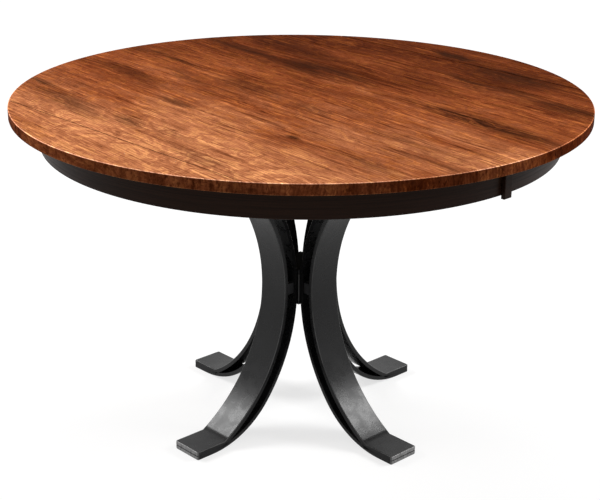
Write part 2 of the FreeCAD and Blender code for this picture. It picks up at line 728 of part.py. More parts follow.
def add_pinion():
    """Pinion with one tooth at +Y, on a bolt through a post."""
    thickness = measure("gear_thickness")
    wheel = Part.makeCylinder(measure("root_radius"), thickness)
    tooth = Part.Face(tooth_wire()).extrude(FreeCAD.Vector(0, 0, thickness))
    for step in range(GEAR_TEETH):
        copy = tooth.copy()
        copy.rotate(FreeCAD.Vector(), FreeCAD.Vector(0, 0, 1), QUARTER_TURN + step * FULL_TURN / GEAR_TEETH)
        wheel = wheel.fuse(copy)
    blank = doc.addObject("Part::Feature", "pinion_blank")
    blank.Shape = wheel.removeSplitter()
    place(blank, z="gear_floor")
    bore = cylinder("pinion_bore", "0", "0", "gear_floor", "axle_radius + axle_play", "gear_thickness")
    keep("pinion", cut("pinion", blank, bore))

    column = cylinder("post_column", "0", "0", "board_top", "post_radius", "post_height")
    post_bore = cylinder("post_bore", "0", "0", "board_top", "axle_radius + bolt_play", "post_height")
    keep("pinion_post", cut("pinion_post", column, post_bore))

    nut_floor = "base_height - nut_height"
    shank = cylinder("pinion_bolt_shank", "0", "0", nut_floor + " - bolt_tail", "axle_radius",
                     "axle_head_floor + bolt_tail - (%s)" % nut_floor)
    head = hexagon("pinion_bolt_head", "0", "0", "axle_head_floor", "axle_head_radius", "axle_head_height")
    keep("pinion_bolt", fuse("pinion_bolt", [shank, head]))
    keep("pinion_nut", threaded_nut("pinion_nut", nut_floor, "axle_head_radius", "nut_height", "axle_radius"))


# Table locks under the seam

def add_locks():
    """Plate with a stud, lever that swings on it, and keeper with a peg on the other half."""
    plate = box("lock_plate", "-lock_plate_length / 2", "-lock_plate_width / 2",
                "top_underside - lock_plate_thickness",
                "lock_plate_length", "lock_plate_width", "lock_plate_thickness")
    stud = cylinder("lock_stud", "0", "0", "lock_head_roof", "lock_stud_radius",
                    "top_underside - lock_head_roof")
    head = cylinder("lock_head", "0", "0", "lock_head_roof - lock_head_height",
                    "lock_head_radius", "lock_head_height")
    base = fuse("lock_base_form", [plate, stud, head])

    end = "-lock_reach - lever_tail"
    arm = padded("lever_arm", "XY_Plane", [
        ("lever_half", end), ("lever_half", "0", "lever_half", LEFT), ("0", "lever_half", "lever_half", LEFT),
        ("-lever_half", "0"), ("-lever_half", end),
    ], "lever_thickness")
    place(arm, z="lever_floor")
    tab = box("lever_tab", "-lever_half", end, "lever_floor - lever_tab",
              "lever_width", "lever_thickness", "lever_tab")
    track = cut("keeper_track",
                cylinder("keeper_track_outside", "0", "0", "lever_floor", "lock_reach + keeper_slot",
                         "lever_thickness"),
                cylinder("keeper_track_inside", "0", "0", "lever_floor", "lock_reach - keeper_slot",
                         "lever_thickness"))
    window = box("keeper_track_window", "-lever_half - overrun", "-lock_reach - 2 * keeper_slot",
                 "lever_floor", "lever_half + overrun", "lock_reach", "lever_thickness")
    slot_end = cylinder("keeper_slot_end", "0", "-lock_reach", "lever_floor",
                        "keeper_slot", "lever_thickness")
    pivot = cylinder("lever_pivot", "0", "0", "lever_floor", "lock_stud_radius + lock_stud_play",
                     "lever_thickness")
    openings = group("lever_openings", [common("keeper_slot", track, window), slot_end, pivot])
    lever = cut("lever_form", fuse("lever_blank", [arm, tab]), openings)

    keeper_plate = box("keeper_plate", "-lock_plate_width / 2", "-lock_plate_width / 2",
                       "top_underside - lock_plate_thickness",
                       "lock_plate_width", "lock_plate_width", "lock_plate_thickness")
    peg = cylinder("keeper_peg", "0", "0", "lock_head_roof",
                   "keeper_radius", "top_underside - lock_head_roof")
    keeper = fuse("keeper_form", [keeper_plate, peg])

    keep_pair("lock_base_back", "lock_base_front",
              copied("lock_base_back", base, "lock_setback", "lock_place"))
    keep_pair("lock_lever_back", "lock_lever_front",
              copied("lock_lever_back", lever, "lock_setback", "lock_place"))
    keep_pair("lock_keeper_front", "lock_keeper_back",
              copied("lock_keeper_front", keeper, "lock_setback", "-lock_place"))


# Top: boards, leaf pins, apron, battens and glue blocks

def add_leaf_pins():
    """Pins along +X in the seam edge. Gives the holes that the right half needs."""
    pin = turned("leaf_pin", [
        ("0", "-pin_reach"), ("pin_tip_radius", "-pin_reach"), ("pin_radius", "pin_tip - pin_reach"),
        ("pin_radius", "pin_depth"), ("0", "pin_depth"),
    ])
    pin.Placement.Rotation = FreeCAD.Rotation(FreeCAD.Vector(0, 1, 0), QUARTER_TURN)
    middle = "table_height - top_thickness / 2"
    pins, holes = [], []
    for number, y in enumerate(("near_pin_place", "far_pin_place"), 1):
        pins.append(copied("leaf_pin_%d" % number, pin, "seam_edge", y, middle))
        holes.append(cylinder("pin_seat_%d" % number, "0", y, middle, "pin_radius + snug_play",
                              "seam_edge + pin_depth + snug_play", lying=True))
        holes.append(cylinder("pin_hole_%d" % number, "0", "-" + y, middle, "pin_radius + pin_play",
                              "pin_reach + pin_play", lying=True))
    keep_pair("leaf_pins_right", "leaf_pins_left", group("leaf_pins_right", pins))
    return holes


def add_boards(holes):
    """Solid boards of each half, glued edge to edge, with one bevel round the rim above and below."""
    disc = turned("top_disc", [
        ("0", "top_underside"), ("top_radius - top_edge_bevel", "top_underside"),
        ("top_radius", "top_underside + top_edge_bevel"), ("top_radius", "table_height - top_edge_bevel"),
        ("top_radius - top_edge_bevel", "table_height"), ("0", "table_height"),
    ], HALF_TURN)
    for number, (near_share, far_share) in enumerate(zip(BOARD_EDGE_SHARES, BOARD_EDGE_SHARES[1:]), 1):
        strip = box("board_strip_%d" % number, "seam_edge + %s * board_span" % near_share,
                    "-top_radius - overrun", "top_underside",
                    "(%s - %s) * board_span" % (far_share, near_share),
                    "2 * (top_radius + overrun)", "top_thickness")
        board = cut("board_%d" % number, common("board_blank_%d" % number, disc, strip), holes)
        keep_pair("top_board_right_%d" % number, "top_board_left_%d" % number, board)


def add_aprons():
    """Bent apron under each half, with glue blocks behind it and a batten over one seam end."""
    blank = turned("apron_ring", [
        ("apron_inner_radius", "apron_bottom"),
        ("apron_radius - apron_edge_round", "apron_bottom", "apron_edge_round", LEFT),
        ("apron_radius", "apron_bottom + apron_edge_round"),
        ("apron_radius", "top_underside"), ("apron_inner_radius", "top_underside"),
    ], HALF_TURN)
    window = box("apron_window", "seam_edge", "-apron_radius - overrun", "apron_bottom",
                 "apron_radius + overrun", "2 * (apron_radius + overrun)", "apron_depth")
    keep_pair("apron_right", "apron_left", common("apron_right", blank, window))

    batten = padded("seam_batten_blank", "XY_Plane", [
        ("-batten_lap", "-apron_radius - batten_proud"),
        ("batten_width - batten_lap", "-apron_radius - batten_proud"),
        ("batten_width - batten_lap", "-apron_radius"), ("seam_edge", "-apron_radius"),
        ("seam_edge", "-apron_radius - batten_play"), ("-batten_lap", "-apron_radius - batten_play"),
    ], "apron_depth + batten_drop")
    round_edges(batten, lambda point: near(point.y, "-apron_radius - batten_proud")
                and (near(point.x, "-batten_lap") or near(point.x, "batten_width - batten_lap")),
                "batten_edge_round")
    place(batten, z="apron_bottom - batten_drop")
    keep_pair("seam_batten_front", "seam_batten_back", batten)

    brick = box("glue_brick", "apron_inner_radius - block_thickness", "-block_length / 2",
                "top_underside - block_height", "block_thickness + overrun", "block_length", "block_height")
    inside = cylinder("apron_inside", "0", "0", "top_underside - block_height",
                      "apron_inner_radius", "block_height")
    block = common("glue_block", brick, inside)
    blocks = []
    for number, angle in enumerate(BLOCK_ANGLES, 1):
        copy = group("glue_block_%d" % number, [block])
        copy.Placement = FreeCAD.Placement(FreeCAD.Vector(), FreeCAD.Rotation(FreeCAD.Vector(0, 0, 1), angle))
        blocks.append(copy)
    keep_pair("glue_blocks_right", "glue_blocks_left", group("glue_blocks_right", blocks))


# Assembly

add_pedestal()
add_bolts()
add_board(add_fixed_rails())
add_pinion()
rail_screws, top_holes = add_moving_rails()
rack_screws, rack_holes = add_racks()
keep_pair("slide_screws_right", "slide_screws_left", group("slide_screws", rail_screws + [rack_screws]))
add_locks()
add_boards(group("top_holes", top_holes + [rack_holes] + add_leaf_pins()))
add_aprons()
doc.recompute()

for item in doc.Objects:
    if "Invalid" in item.State or "Error" in item.State:
        raise RuntimeError("failed feature: " + item.Name)
for name, item in nodes.items():
    if item.Shape.isNull() or not item.Shape.isValid() or item.Shape.Volume <= 0:
        raise RuntimeError("bad solid: " + name)

os.makedirs("parts", exist_ok=True)
for name, item in nodes.items():
    item.Shape.exportStep("parts/%s.step" % name)
print(len(nodes), "pieces")
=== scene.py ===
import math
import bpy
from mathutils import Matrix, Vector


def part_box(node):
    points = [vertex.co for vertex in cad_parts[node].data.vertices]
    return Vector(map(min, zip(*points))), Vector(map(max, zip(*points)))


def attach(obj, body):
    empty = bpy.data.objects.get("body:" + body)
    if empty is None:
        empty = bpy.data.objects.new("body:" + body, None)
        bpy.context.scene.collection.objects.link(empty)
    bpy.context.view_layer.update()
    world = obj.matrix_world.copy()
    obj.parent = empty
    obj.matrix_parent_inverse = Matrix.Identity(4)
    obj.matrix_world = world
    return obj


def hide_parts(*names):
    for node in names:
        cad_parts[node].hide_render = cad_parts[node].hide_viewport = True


bl_info = {
    "name": "Round split-top table",
    "version": (1, 0, 0),
    "blender": (4, 5, 0),
    "location": "View3D > Sidebar > Table",
    "description": "Dresses a round hickory table on a bent steel pedestal",
    "category": "Object",
}

import bmesh
import bpy
from bpy.props import FloatProperty, FloatVectorProperty, PointerProperty
from mathutils import Matrix, Vector

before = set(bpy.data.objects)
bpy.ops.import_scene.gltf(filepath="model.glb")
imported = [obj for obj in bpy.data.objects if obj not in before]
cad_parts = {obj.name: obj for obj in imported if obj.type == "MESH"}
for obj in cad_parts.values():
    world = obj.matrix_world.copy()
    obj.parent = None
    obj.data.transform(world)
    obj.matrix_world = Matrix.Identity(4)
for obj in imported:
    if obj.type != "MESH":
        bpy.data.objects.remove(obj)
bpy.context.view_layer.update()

HALVES = {"right": 0, "left": math.pi}
LEGS = {"right": 0, "back": math.pi / 2, "left": math.pi, "front": -math.pi / 2}
BOARDS_A_HALF = 5
# Within what two lengths count as the same, and a corner of a spun face as on its curve
HAIR = 1e-5
NEAR_CURVE = 5e-5
SMOOTH_ANGLE = math.radians(32)
SHARP_ANGLE = math.radians(35)
FLAT_ANGLE = math.radians(1)

# Radii of the eased edges of the pieces that keep their CAD shape
EASE_STEEL = 0.0008
EASE_RAIL = 0.0010
EASE_BLOCK = 0.0015
EASE_STOP = 0.0004
EASE_PIN = 0.0006
EASE_GEAR = 0.0003
EASE_FASTENER = 0.0004
EASE_LOCK = 0.0005

FLOOR_RADIUS = 9
LAMP_SIZE = (1.25, 1.0)


def node_value(name, corner, axis):
    """One coordinate of a CAD node's box, for the default of a size."""
    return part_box(name)[corner][axis]


class TableTopSettings(bpy.types.PropertyGroup):
    """Sizes and colours of the wooden top."""

    edge_round: FloatProperty(
        name="Edge round", description="Radius of the eased rim", default=0.0021, unit="LENGTH")
    seam_round: FloatProperty(
        name="Seam round", description="Radius of the eased edges along the seam",
        default=0.0002, unit="LENGTH")
    seam_gap: FloatProperty(
        name="Seam gap", description="Width of the line between the closed halves",
        default=0.00004, unit="LENGTH")
    light_wood: FloatVectorProperty(
        name="Light wood", description="Colour of the palest stained wood",
        default=(0.650, 0.240, 0.102), subtype="COLOR", min=0, max=1)
    middle_wood: FloatVectorProperty(
        name="Middle wood", description="Colour of most of the stained wood",
        default=(0.305, 0.0755, 0.0222), subtype="COLOR", min=0, max=1)
    dark_wood: FloatVectorProperty(
        name="Dark wood", description="Colour of the darker boards",
        default=(0.120, 0.0250, 0.0058), subtype="COLOR", min=0, max=1)
    streak: FloatVectorProperty(
        name="Streak", description="Colour of the mineral streaks",
        default=(0.030, 0.0080, 0.0026), subtype="COLOR", min=0, max=1)
    ring_gap: FloatProperty(
        name="Ring gap", description="Distance between growth rings", default=0.0065, unit="LENGTH")


class ApronSettings(bpy.types.PropertyGroup):
    """Sizes and colours of the ring under the top."""

    thickness: FloatProperty(
        name="Thickness", description="Thickness of the bent apron", default=0.019, unit="LENGTH")
    edge_round: FloatProperty(
        name="Edge round", description="Radius of the lower edges", default=0.002, unit="LENGTH")
    stain: FloatVectorProperty(
        name="Stain", description="Colour of the dark stain",
        default=(0.0230, 0.0098, 0.0050), subtype="COLOR", min=0, max=1)


class PedestalSettings(bpy.types.PropertyGroup):
    """Sizes and colours of the steel legs."""

    crease_radius: FloatProperty(
        name="Crease radius", description="Distance of the crease from the table's axis",
        default=0.2525, unit="LENGTH")
    heel_start: FloatProperty(
        name="Heel start", description="Where the inner bar leaves the floor",
        default=0.288, unit="LENGTH")
    edge_round: FloatProperty(
        name="Edge round", description="Radius of the bars' edges", default=0.0021, unit="LENGTH")
    corner_round: FloatProperty(
        name="Corner round", description="Radius of the corners at the bars' ends",
        default=0.004, unit="LENGTH")
    joint_round: FloatProperty(
        name="Joint round", description="Radius of the edges where the bars' ends meet",
        default=0.0012, unit="LENGTH")
    steel: FloatVectorProperty(
        name="Steel", description="Colour of the blackened steel",
        default=(0.0050, 0.0050, 0.0053), subtype="COLOR", min=0, max=1)


class StageSettings(bpy.types.PropertyGroup):
    """Camera and light."""

    camera_place: FloatVectorProperty(
        name="Camera place", description="Where the camera stands",
        default=(-2.0014, -2.1179, 1.4816), subtype="TRANSLATION", unit="LENGTH")
    camera_aim: FloatVectorProperty(
        name="Camera aim", description="Direction that the camera looks in",
        default=(0.6430, 0.6803, -0.3518), subtype="DIRECTION")
    camera_roll: FloatProperty(
        name="Camera roll", description="Turn of the camera about its aim",
        default=math.radians(0.531), subtype="ANGLE")
    lens: FloatProperty(name="Lens", description="Focal length in millimetres", default=84.907)
    floor_colour: FloatVectorProperty(
        name="Floor", description="Colour of the pale floor",
        default=(0.34, 0.34, 0.34), subtype="COLOR", min=0, max=1)
    fill: FloatProperty(name="Fill", description="Strength of the light from all round", default=0.5)
    left_power: FloatProperty(
        name="Left lamp", description="Power of the left lamp", default=68, subtype="POWER")
    right_power: FloatProperty(
        name="Right lamp", description="Power of the right lamp", default=68, subtype="POWER")


# Modelling helpers

def start_fresh():
    """Go to object mode with nothing selected."""
    if bpy.context.mode != "OBJECT":
        bpy.ops.object.mode_set(mode="OBJECT")
    bpy.ops.object.select_all(action="DESELECT")


def show(item):
    """Put an object in the scene."""
    bpy.context.scene.collection.objects.link(item)


def take(piece):
    """Make a piece the only selected one."""
    start_fresh()
    piece.select_set(True)
    bpy.context.view_layer.objects.active = piece


def new_piece(name):
    """Name the primitive just added and settle its place in its mesh."""
    piece = bpy.context.active_object
    piece.name = piece.data.name = name
    bpy.ops.object.transform_apply(location=True, rotation=True, scale=True)
    return piece


def add_box(name, low, high):
    start_fresh()
    bpy.ops.mesh.primitive_cube_add(size=1, location=(low + high) / 2, scale=high - low)
    return new_piece(name)


def add_cylinder(name, radius, low, high, sides, rotation=(0, 0, 0)):
    """A cylinder along its own axis between the centres of its ends."""
    start_fresh()
    low, high = Vector(low), Vector(high)
    bpy.ops.mesh.primitive_cylinder_add(
        vertices=sides, radius=radius, depth=(high - low).length, location=(low + high) / 2,
        rotation=rotation)
    return new_piece(name)


def add_plate(name, place, width, depth, rotation=(0, 0, 0)):
    """A flat rectangle round a place, turned after it was sized."""
    start_fresh()
    bpy.ops.mesh.primitive_plane_add(size=1, location=place, rotation=rotation)
    bpy.context.active_object.scale = (width, depth, 1)
    return new_piece(name)


def sweep(steps, angle, centre, axis):
    """Spin what is selected, anticlockwise as seen from the axis's tip."""
    bpy.ops.mesh.spin(steps=steps, angle=-angle, center=centre, axis=axis)


def push_out(out, up=0):
    """Extrude what is selected outwards and upwards."""
    bpy.ops.mesh.extrude_region_move(TRANSFORM_OT_translate={"value": (out, 0, up)})


def everything(points):
    return True


def pick(piece, kind, test=everything):
    """Select, in edit mode, the vertices, edges or faces whose points pass a test. Gives how many."""
    take(piece)
    bpy.ops.object.mode_set(mode="EDIT")
    bpy.ops.mesh.select_mode(type=kind)
    bpy.ops.mesh.select_all(action="DESELECT")
    shape = bmesh.from_edit_mesh(piece.data)
    items = {"VERT": shape.verts, "EDGE": shape.edges, "FACE": shape.faces}[kind]
    found = 0
    for item in items:
        points = [item.co] if kind == "VERT" else [corner.co for corner in item.verts]
        if test(points):
            item.select_set(True)
            found += 1
    bmesh.update_edit_mesh(piece.data)
    return found


def same(first, second, within=HAIR):
    """Whether two lengths are the same, but for a hair."""
    return abs(first - second) < within


def every(test):
    """A test that all points of an edge or a face have to pass."""
    return lambda points: all(test(point) for point in points)


def bevel(piece, test, width, segments=3):
    """Round the edges whose points pass a test."""
    if not pick(piece, "EDGE", test):
        raise RuntimeError("no edges to round on " + piece.name)
    bpy.ops.mesh.bevel(offset=width, segments=segments, profile=0.5, affect="EDGES", clamp_overlap=False)
    start_fresh()


def saw(piece, place, normal):
    """Cut a piece by a plane, throw away what lies behind it and close the cut."""
    pick(piece, "FACE")
    bpy.ops.mesh.bisect(
        plane_co=place, plane_no=normal, use_fill=True, clear_inner=True, threshold=HAIR / 10)
    start_fresh()


def drill(piece, cutter):
    """Cut another piece out of this one."""
    take(piece)
    modifier = piece.modifiers.new("drill", "BOOLEAN")
    modifier.object = cutter
    modifier.operation = "DIFFERENCE"
    modifier.solver = "EXACT"
    bpy.ops.object.modifier_apply(modifier=modifier.name)
    bpy.data.objects.remove(cutter)


def joined(pieces):
    """One piece made of several."""
    take(pieces[0])
    for piece in pieces[1:]:
        piece.select_set(True)
    bpy.ops.object.join()
    return pieces[0]


def copy_of(piece, turn=0):
    """A copy with its own mesh, carried round the table's axis."""
    twin = piece.copy()
    twin.data = piece.data.copy()
    show(twin)
    twin.data.transform(Matrix.Rotation(turn, 4, "Z"))
    return twin


def settle(piece, recalculate=True):
    """Merge doubles, turn the faces outwards and smooth all but the sharp edges."""
    pick(piece, "FACE")
    bpy.ops.mesh.remove_doubles(threshold=HAIR)
    if recalculate:
        bpy.ops.mesh.normals_make_consistent(inside=False)
    take(piece)
    bpy.ops.object.shade_smooth_by_angle(angle=SMOOTH_ANGLE)
    modifier = piece.modifiers.new("normals", "WEIGHTED_NORMAL")
    modifier.keep_sharp = True
    modifier.weight = 100
    bpy.ops.object.modifier_apply(modifier=modifier.name)
    return piece


def eased(node, width, segments):
    """A copy of a CAD node's shape with its sharp edges eased."""
    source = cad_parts[node]
    piece = source.copy()
    piece.data = source.data.copy()
    piece.parent = None
    for key in [key for key in piece.keys() if key.startswith("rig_")]:
        del piece[key]
    show(piece)
    pick(piece, "FACE")
    bpy.ops.mesh.remove_doubles(threshold=HAIR)
    bpy.ops.mesh.dissolve_limited(angle_limit=FLAT_ANGLE)
    take(piece)
    modifier = piece.modifiers.new("eased", "BEVEL")
    modifier.width = width
    modifier.segments = segments
    modifier.limit_method = "ANGLE"
    modifier.angle_limit = SHARP_ANGLE
    modifier.use_clamp_overlap = True
    bpy.ops.object.modifier_apply(modifier=modifier.name)
    return settle(piece, recalculate=False)


def islands(node):
    """The box of each separate solid of a CAD node, lowest corner first."""
    shape = bmesh.new()
    shape.from_mesh(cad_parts[node].data)
    bmesh.ops.remove_doubles(shape, verts=shape.verts, dist=HAIR)
    left, boxes = set(shape.verts), []
    while left:
        reached, found = [left.pop()], []
        while reached:
            corner = reached.pop()
            found.append(corner.co.copy())
            for link in corner.link_edges:
                other = link.other_vert(corner)
                if other in left:
                    left.remove(other)
                    reached.append(other)
        low = Vector([min(point[axis] for point in found) for axis in range(3)])
        high = Vector([max(point[axis] for point in found) for axis in range(3)])
        boxes.append((low, high))
    shape.free()
    return sorted(boxes, key=lambda box: tuple(round(value, 4) for value in box[0]))


def dress(piece, body, material, node):
    """Give a finished piece its name, its material, its body and the CAD node that it stands for."""
    piece.name = piece.data.name = "dressed_" + node
    piece.data.materials.clear()
    piece.data.materials.append(material)
    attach(piece, body)
    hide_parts(node)


def dress_eased(node, width, body, material, segments=2):
    """Let an eased copy of a CAD node stand for it."""
    dress(eased(node, width, segments), body, finish(material), node)


# Material helpers

def plug(tree, item, inputs):
    """Set or link the inputs of a shader node."""
    for key, value in inputs.items():
        socket = item.inputs[key]
        if isinstance(value, bpy.types.NodeSocket):
            tree.links.new(value, socket)
        else:
            socket.default_value = value


def shader_node(tree, kind, inputs=None, **settings):
    item = tree.nodes.new("ShaderNode" + kind)
    for name, value in settings.items():
        setattr(item, name, value)
    plug(tree, item, inputs or {})
    return item


def math_of(tree, operation, *values, clamp=False):
    return shader_node(tree, "Math", dict(enumerate(values)), operation=operation, use_clamp=clamp).outputs[0]


def times(tree, first, second, clamp=False):
    return math_of(tree, "MULTIPLY", first, second, clamp=clamp)


def plus(tree, first, second, clamp=False):
    return math_of(tree, "ADD", first, second, clamp=clamp)


def minus(tree, first, second):
    return math_of(tree, "SUBTRACT", first, second)


def vector_of(tree, operation, *values):
    return shader_node(tree, "VectorMath", dict(enumerate(values)), operation=operation).outputs[0]


def length_of(tree, vector):
    return shader_node(tree, "VectorMath", {0: vector}, operation="LENGTH").outputs["Value"]


def axes_of(tree, vector):
    return list(shader_node(tree, "SeparateXYZ", {0: vector}).outputs)


def from_axes(tree, x, y, z):
    return shader_node(tree, "CombineXYZ", {0: x, 1: y, 2: z}).outputs[0]


def off_axis(tree, place):
    """Distance from the table's axis."""
    return length_of(tree, vector_of(tree, "MULTIPLY", place, (1, 1, 0)))


def scaled(tree, vector, scale, shift=(0, 0, 0)):
    """A vector scaled and moved, so that a pattern runs along the grain."""
    return shader_node(tree, "Mapping", {"Vector": vector, "Scale": scale, "Location": shift}).outputs[0]


def noise(tree, vector, scale=1, detail=3, roughness=0.5, distortion=0, output="Fac"):
    return shader_node(tree, "TexNoise", {
        "Vector": vector, "Scale": scale, "Detail": detail, "Roughness": roughness,
        "Distortion": distortion}).outputs[output]


def span(tree, value, low, high, to_low=0, to_high=1):
    """Carry a value smoothly from one range to another."""
    return shader_node(tree, "MapRange", {
        "Value": value, "From Min": low, "From Max": high, "To Min": to_low, "To Max": to_high,
    }, interpolation_type="SMOOTHSTEP").outputs["Result"]


def near(tree, distance, limit, fade):
    """1 where a distance is close below its limit, after fading in between two steps from it."""
    return span(tree, distance, limit - fade[0], limit - fade[1])


def blend(tree, factor, first, second, how="MIX"):
    item = shader_node(tree, "Mix", {"Factor": factor}, data_type="RGBA", blend_type=how)
    plug(tree, item, {6: first, 7: second})
    return item.outputs[2]


def opaque(colour, level=1):
    """A colour, made darker or lighter, with full alpha."""
    return tuple(level * value for value in colour) + (1,)


def tinted(tree, factor, colour, tint):
    """A colour multiplied by a tint where the factor is 1."""
    return blend(tree, factor, colour, opaque(tint), "MULTIPLY")


def new_finish(name, **plain):
    """A new material. Gives it, its tree, its shader and its Object coordinates."""
    material = bpy.data.materials.new(name)
    material.use_nodes = True
    tree = material.node_tree
    shader = tree.nodes["Principled BSDF"]
    for key, value in plain.items():
        shader.inputs[key.replace("_", " ")].default_value = value
    place = shader_node(tree, "TexCoord").outputs["Object"]
    return material, tree, shader, place


def raise_surface(tree, shader, height, distance):
    """Give a shader the relief of a height, whose whole range is a distance."""
    bump = shader_node(tree, "Bump", {"Height": height, "Distance": distance, "Strength": 1.0})
    tree.links.new(bump.outputs[0], shader.inputs["Normal"])


# Hickory

# Mineral streaks of the top: the middle's x and y, half the width, half the length and the depth
STREAKS = (
    (0.01, 0.47, 0.02, 0.19, 0.65),
    (-0.035, 0.13, 0.048, 0.14, 0.45),
    (0.208, 0.4, 0.026, 0.23, 0.62),
    (0.18, 0.13, 0.055, 0.19, 0.75),
    (0.12, -0.38, 0.034, 0.25, 0.85),
    (0.345, -0.24, 0.048, 0.19, 0.52),
    (0.325, -0.44, 0.04, 0.12, 0.7),
    (0.455, -0.19, 0.07, 0.17, 0.6),
    (0.52, 0.02, 0.036, 0.08, 0.95),
    (0.3, 0.3, 0.05, 0.21, 0.35),
    (-0.23, 0.12, 0.024, 0.07, 0.45),
    (-0.395, 0.08, 0.02, 0.07, 0.6),
    (-0.4, 0.3, 0.045, 0.19, 0.5),
    (-0.345, 0.47, 0.024, 0.08, 0.6),
    (-0.15, 0.4, 0.03, 0.18, 0.35),
    (-0.065, -0.11, 0.024, 0.1, 0.45),
    (-0.09, -0.4, 0.022, 0.16, 0.35),
    (-0.235, -0.24, 0.014, 0.022, 0.7),
    (-0.25, -0.43, 0.03, 0.13, 0.3),
)
# Pale bands, listed in the same way
PALE_BANDS = (
    (-0.5, 0.0, 0.1, 0.48, 0.62),
    (-0.4, -0.25, 0.08, 0.3, 0.6),
    (-0.18, 0.03, 0.035, 0.26, 0.5),
    (-0.3, -0.02, 0.06, 0.22, 0.4),
    (0.03, -0.37, 0.06, 0.22, 0.5),
    (0.0, -0.59, 0.14, 0.07, 0.6),
    (0.45, 0.33, 0.05, 0.08, 0.55),
    (0.38, -0.4, 0.03, 0.12, 0.5),
    (0.06, 0.25, 0.03, 0.2, 0.3),
)
# Noise patterns: the place that each reads, its scale, shift, detail, roughness and distortion
PATTERNS = {
    "waver": ("board", (38, 7, 38), (0, 0, 0), 3, 0.5, 0),
    "fibre": ("board", (230, 2.6, 80), (0, 0, 0), 5, 0.72, 0),
    "dash": ("board", (190, 6, 60), (0.4, 0.2, 0.1), 4, 0.66, 0),
    "glint": ("nudged", (125, 6, 60), (1.7, 0.9, 0.3), 5, 0.68, 0),
    "hair": ("board", (1500, 26, 240), (0, 0, 0), 2, 0.5, 0),
    "clump": ("bent", (17, 3.2, 17), (0.9, 2.3, 1.1), 4, 0.6, 0),
    "pore": ("board", (1100, 34, 240), (0, 0, 0), 2, 0.6, 0),
    "curl": ("bent", (36, 19, 36), (0, 0, 0), 3, 0.55, 1.3),
    "patch": ("bent", (9, 2.2, 9), (2.3, 4.1, 0.6), 6, 0.62, 0),
    "smoke": ("bent", (13, 2, 13), (3.1, 0.7, 0.4), 5, 0.6, 0),
    "thread": ("bent", (70, 2.4, 40), (0.3, 5.1, 0.2), 4, 0.6, 0),
    "stripe": ("place", (55, 55, 6), (0, 0, 0), 4, 0.6, 0),
}
# Tints that the grain and the rim multiply the stain by, with the painted highlight on the rim's eased edge
TINTS = {
    "late wood": (0.46, 0.34, 0.28),
    "fibre": (0.48, 0.38, 0.32),
    "dash": (0.34, 0.25, 0.20),
    "glint": (1.80, 1.98, 1.98),
    "pale curl": (1.36, 1.54, 1.44),
    "dark curl": (0.62, 0.54, 0.48),
    "hair": (0.45, 0.36, 0.30),
    "pore": (0.16, 0.10, 0.08),
    "end grain": (0.25, 0.145, 0.100),
    "end stripe": (0.30, 0.22, 0.18),
    # A painted highlight, which whitens the rim's eased edge
    "painted edge highlight": (2.7, 3.6, 5.2),
}
# How far the grain drifts sideways for each metre along the seam
GRAIN_LEAN = 0.09
# How far inside the rim the painted highlight on its eased edge starts to show, and is at its full
RIM_FADE = (0.0040, 0.0020)


def bands(tree, place, table):
    """Soft patches along the grain, the deepest one winning where they meet."""
    total = 0.0
    for x, y, half_width, half_length, depth in table:
        offset = vector_of(tree, "SUBTRACT", place, (x - GRAIN_LEAN * y, y, 0))
        shape = vector_of(tree, "MULTIPLY", offset, (1 / half_width, 1 / half_length, 0))
        total = math_of(tree, "MAXIMUM", total, span(tree, length_of(tree, shape), 1.25, 0.25, 0, depth))
    return total


def rings(group, board, waver, gap):
    """How far a place lies into the dark late wood of its growth ring, round a pith that wanders."""
    wander = noise(group, scaled(group, board, (2.2, 1.1, 2.2)), detail=2.0, output="Color")
    drift = vector_of(group, "MULTIPLY", wander, (0.16, 0.0, 0.22))
    across = vector_of(group, "MULTIPLY", vector_of(group, "ADD", board, drift), (1.0, 0.0, 1.0))
    phase = plus(group, math_of(group, "DIVIDE", length_of(group, across), gap), times(group, waver, 1.6))
    ring = math_of(group, "FRACT", phase)
    return times(group, span(group, ring, 0.25, 0.9), span(group, ring, 1.0, 0.93))


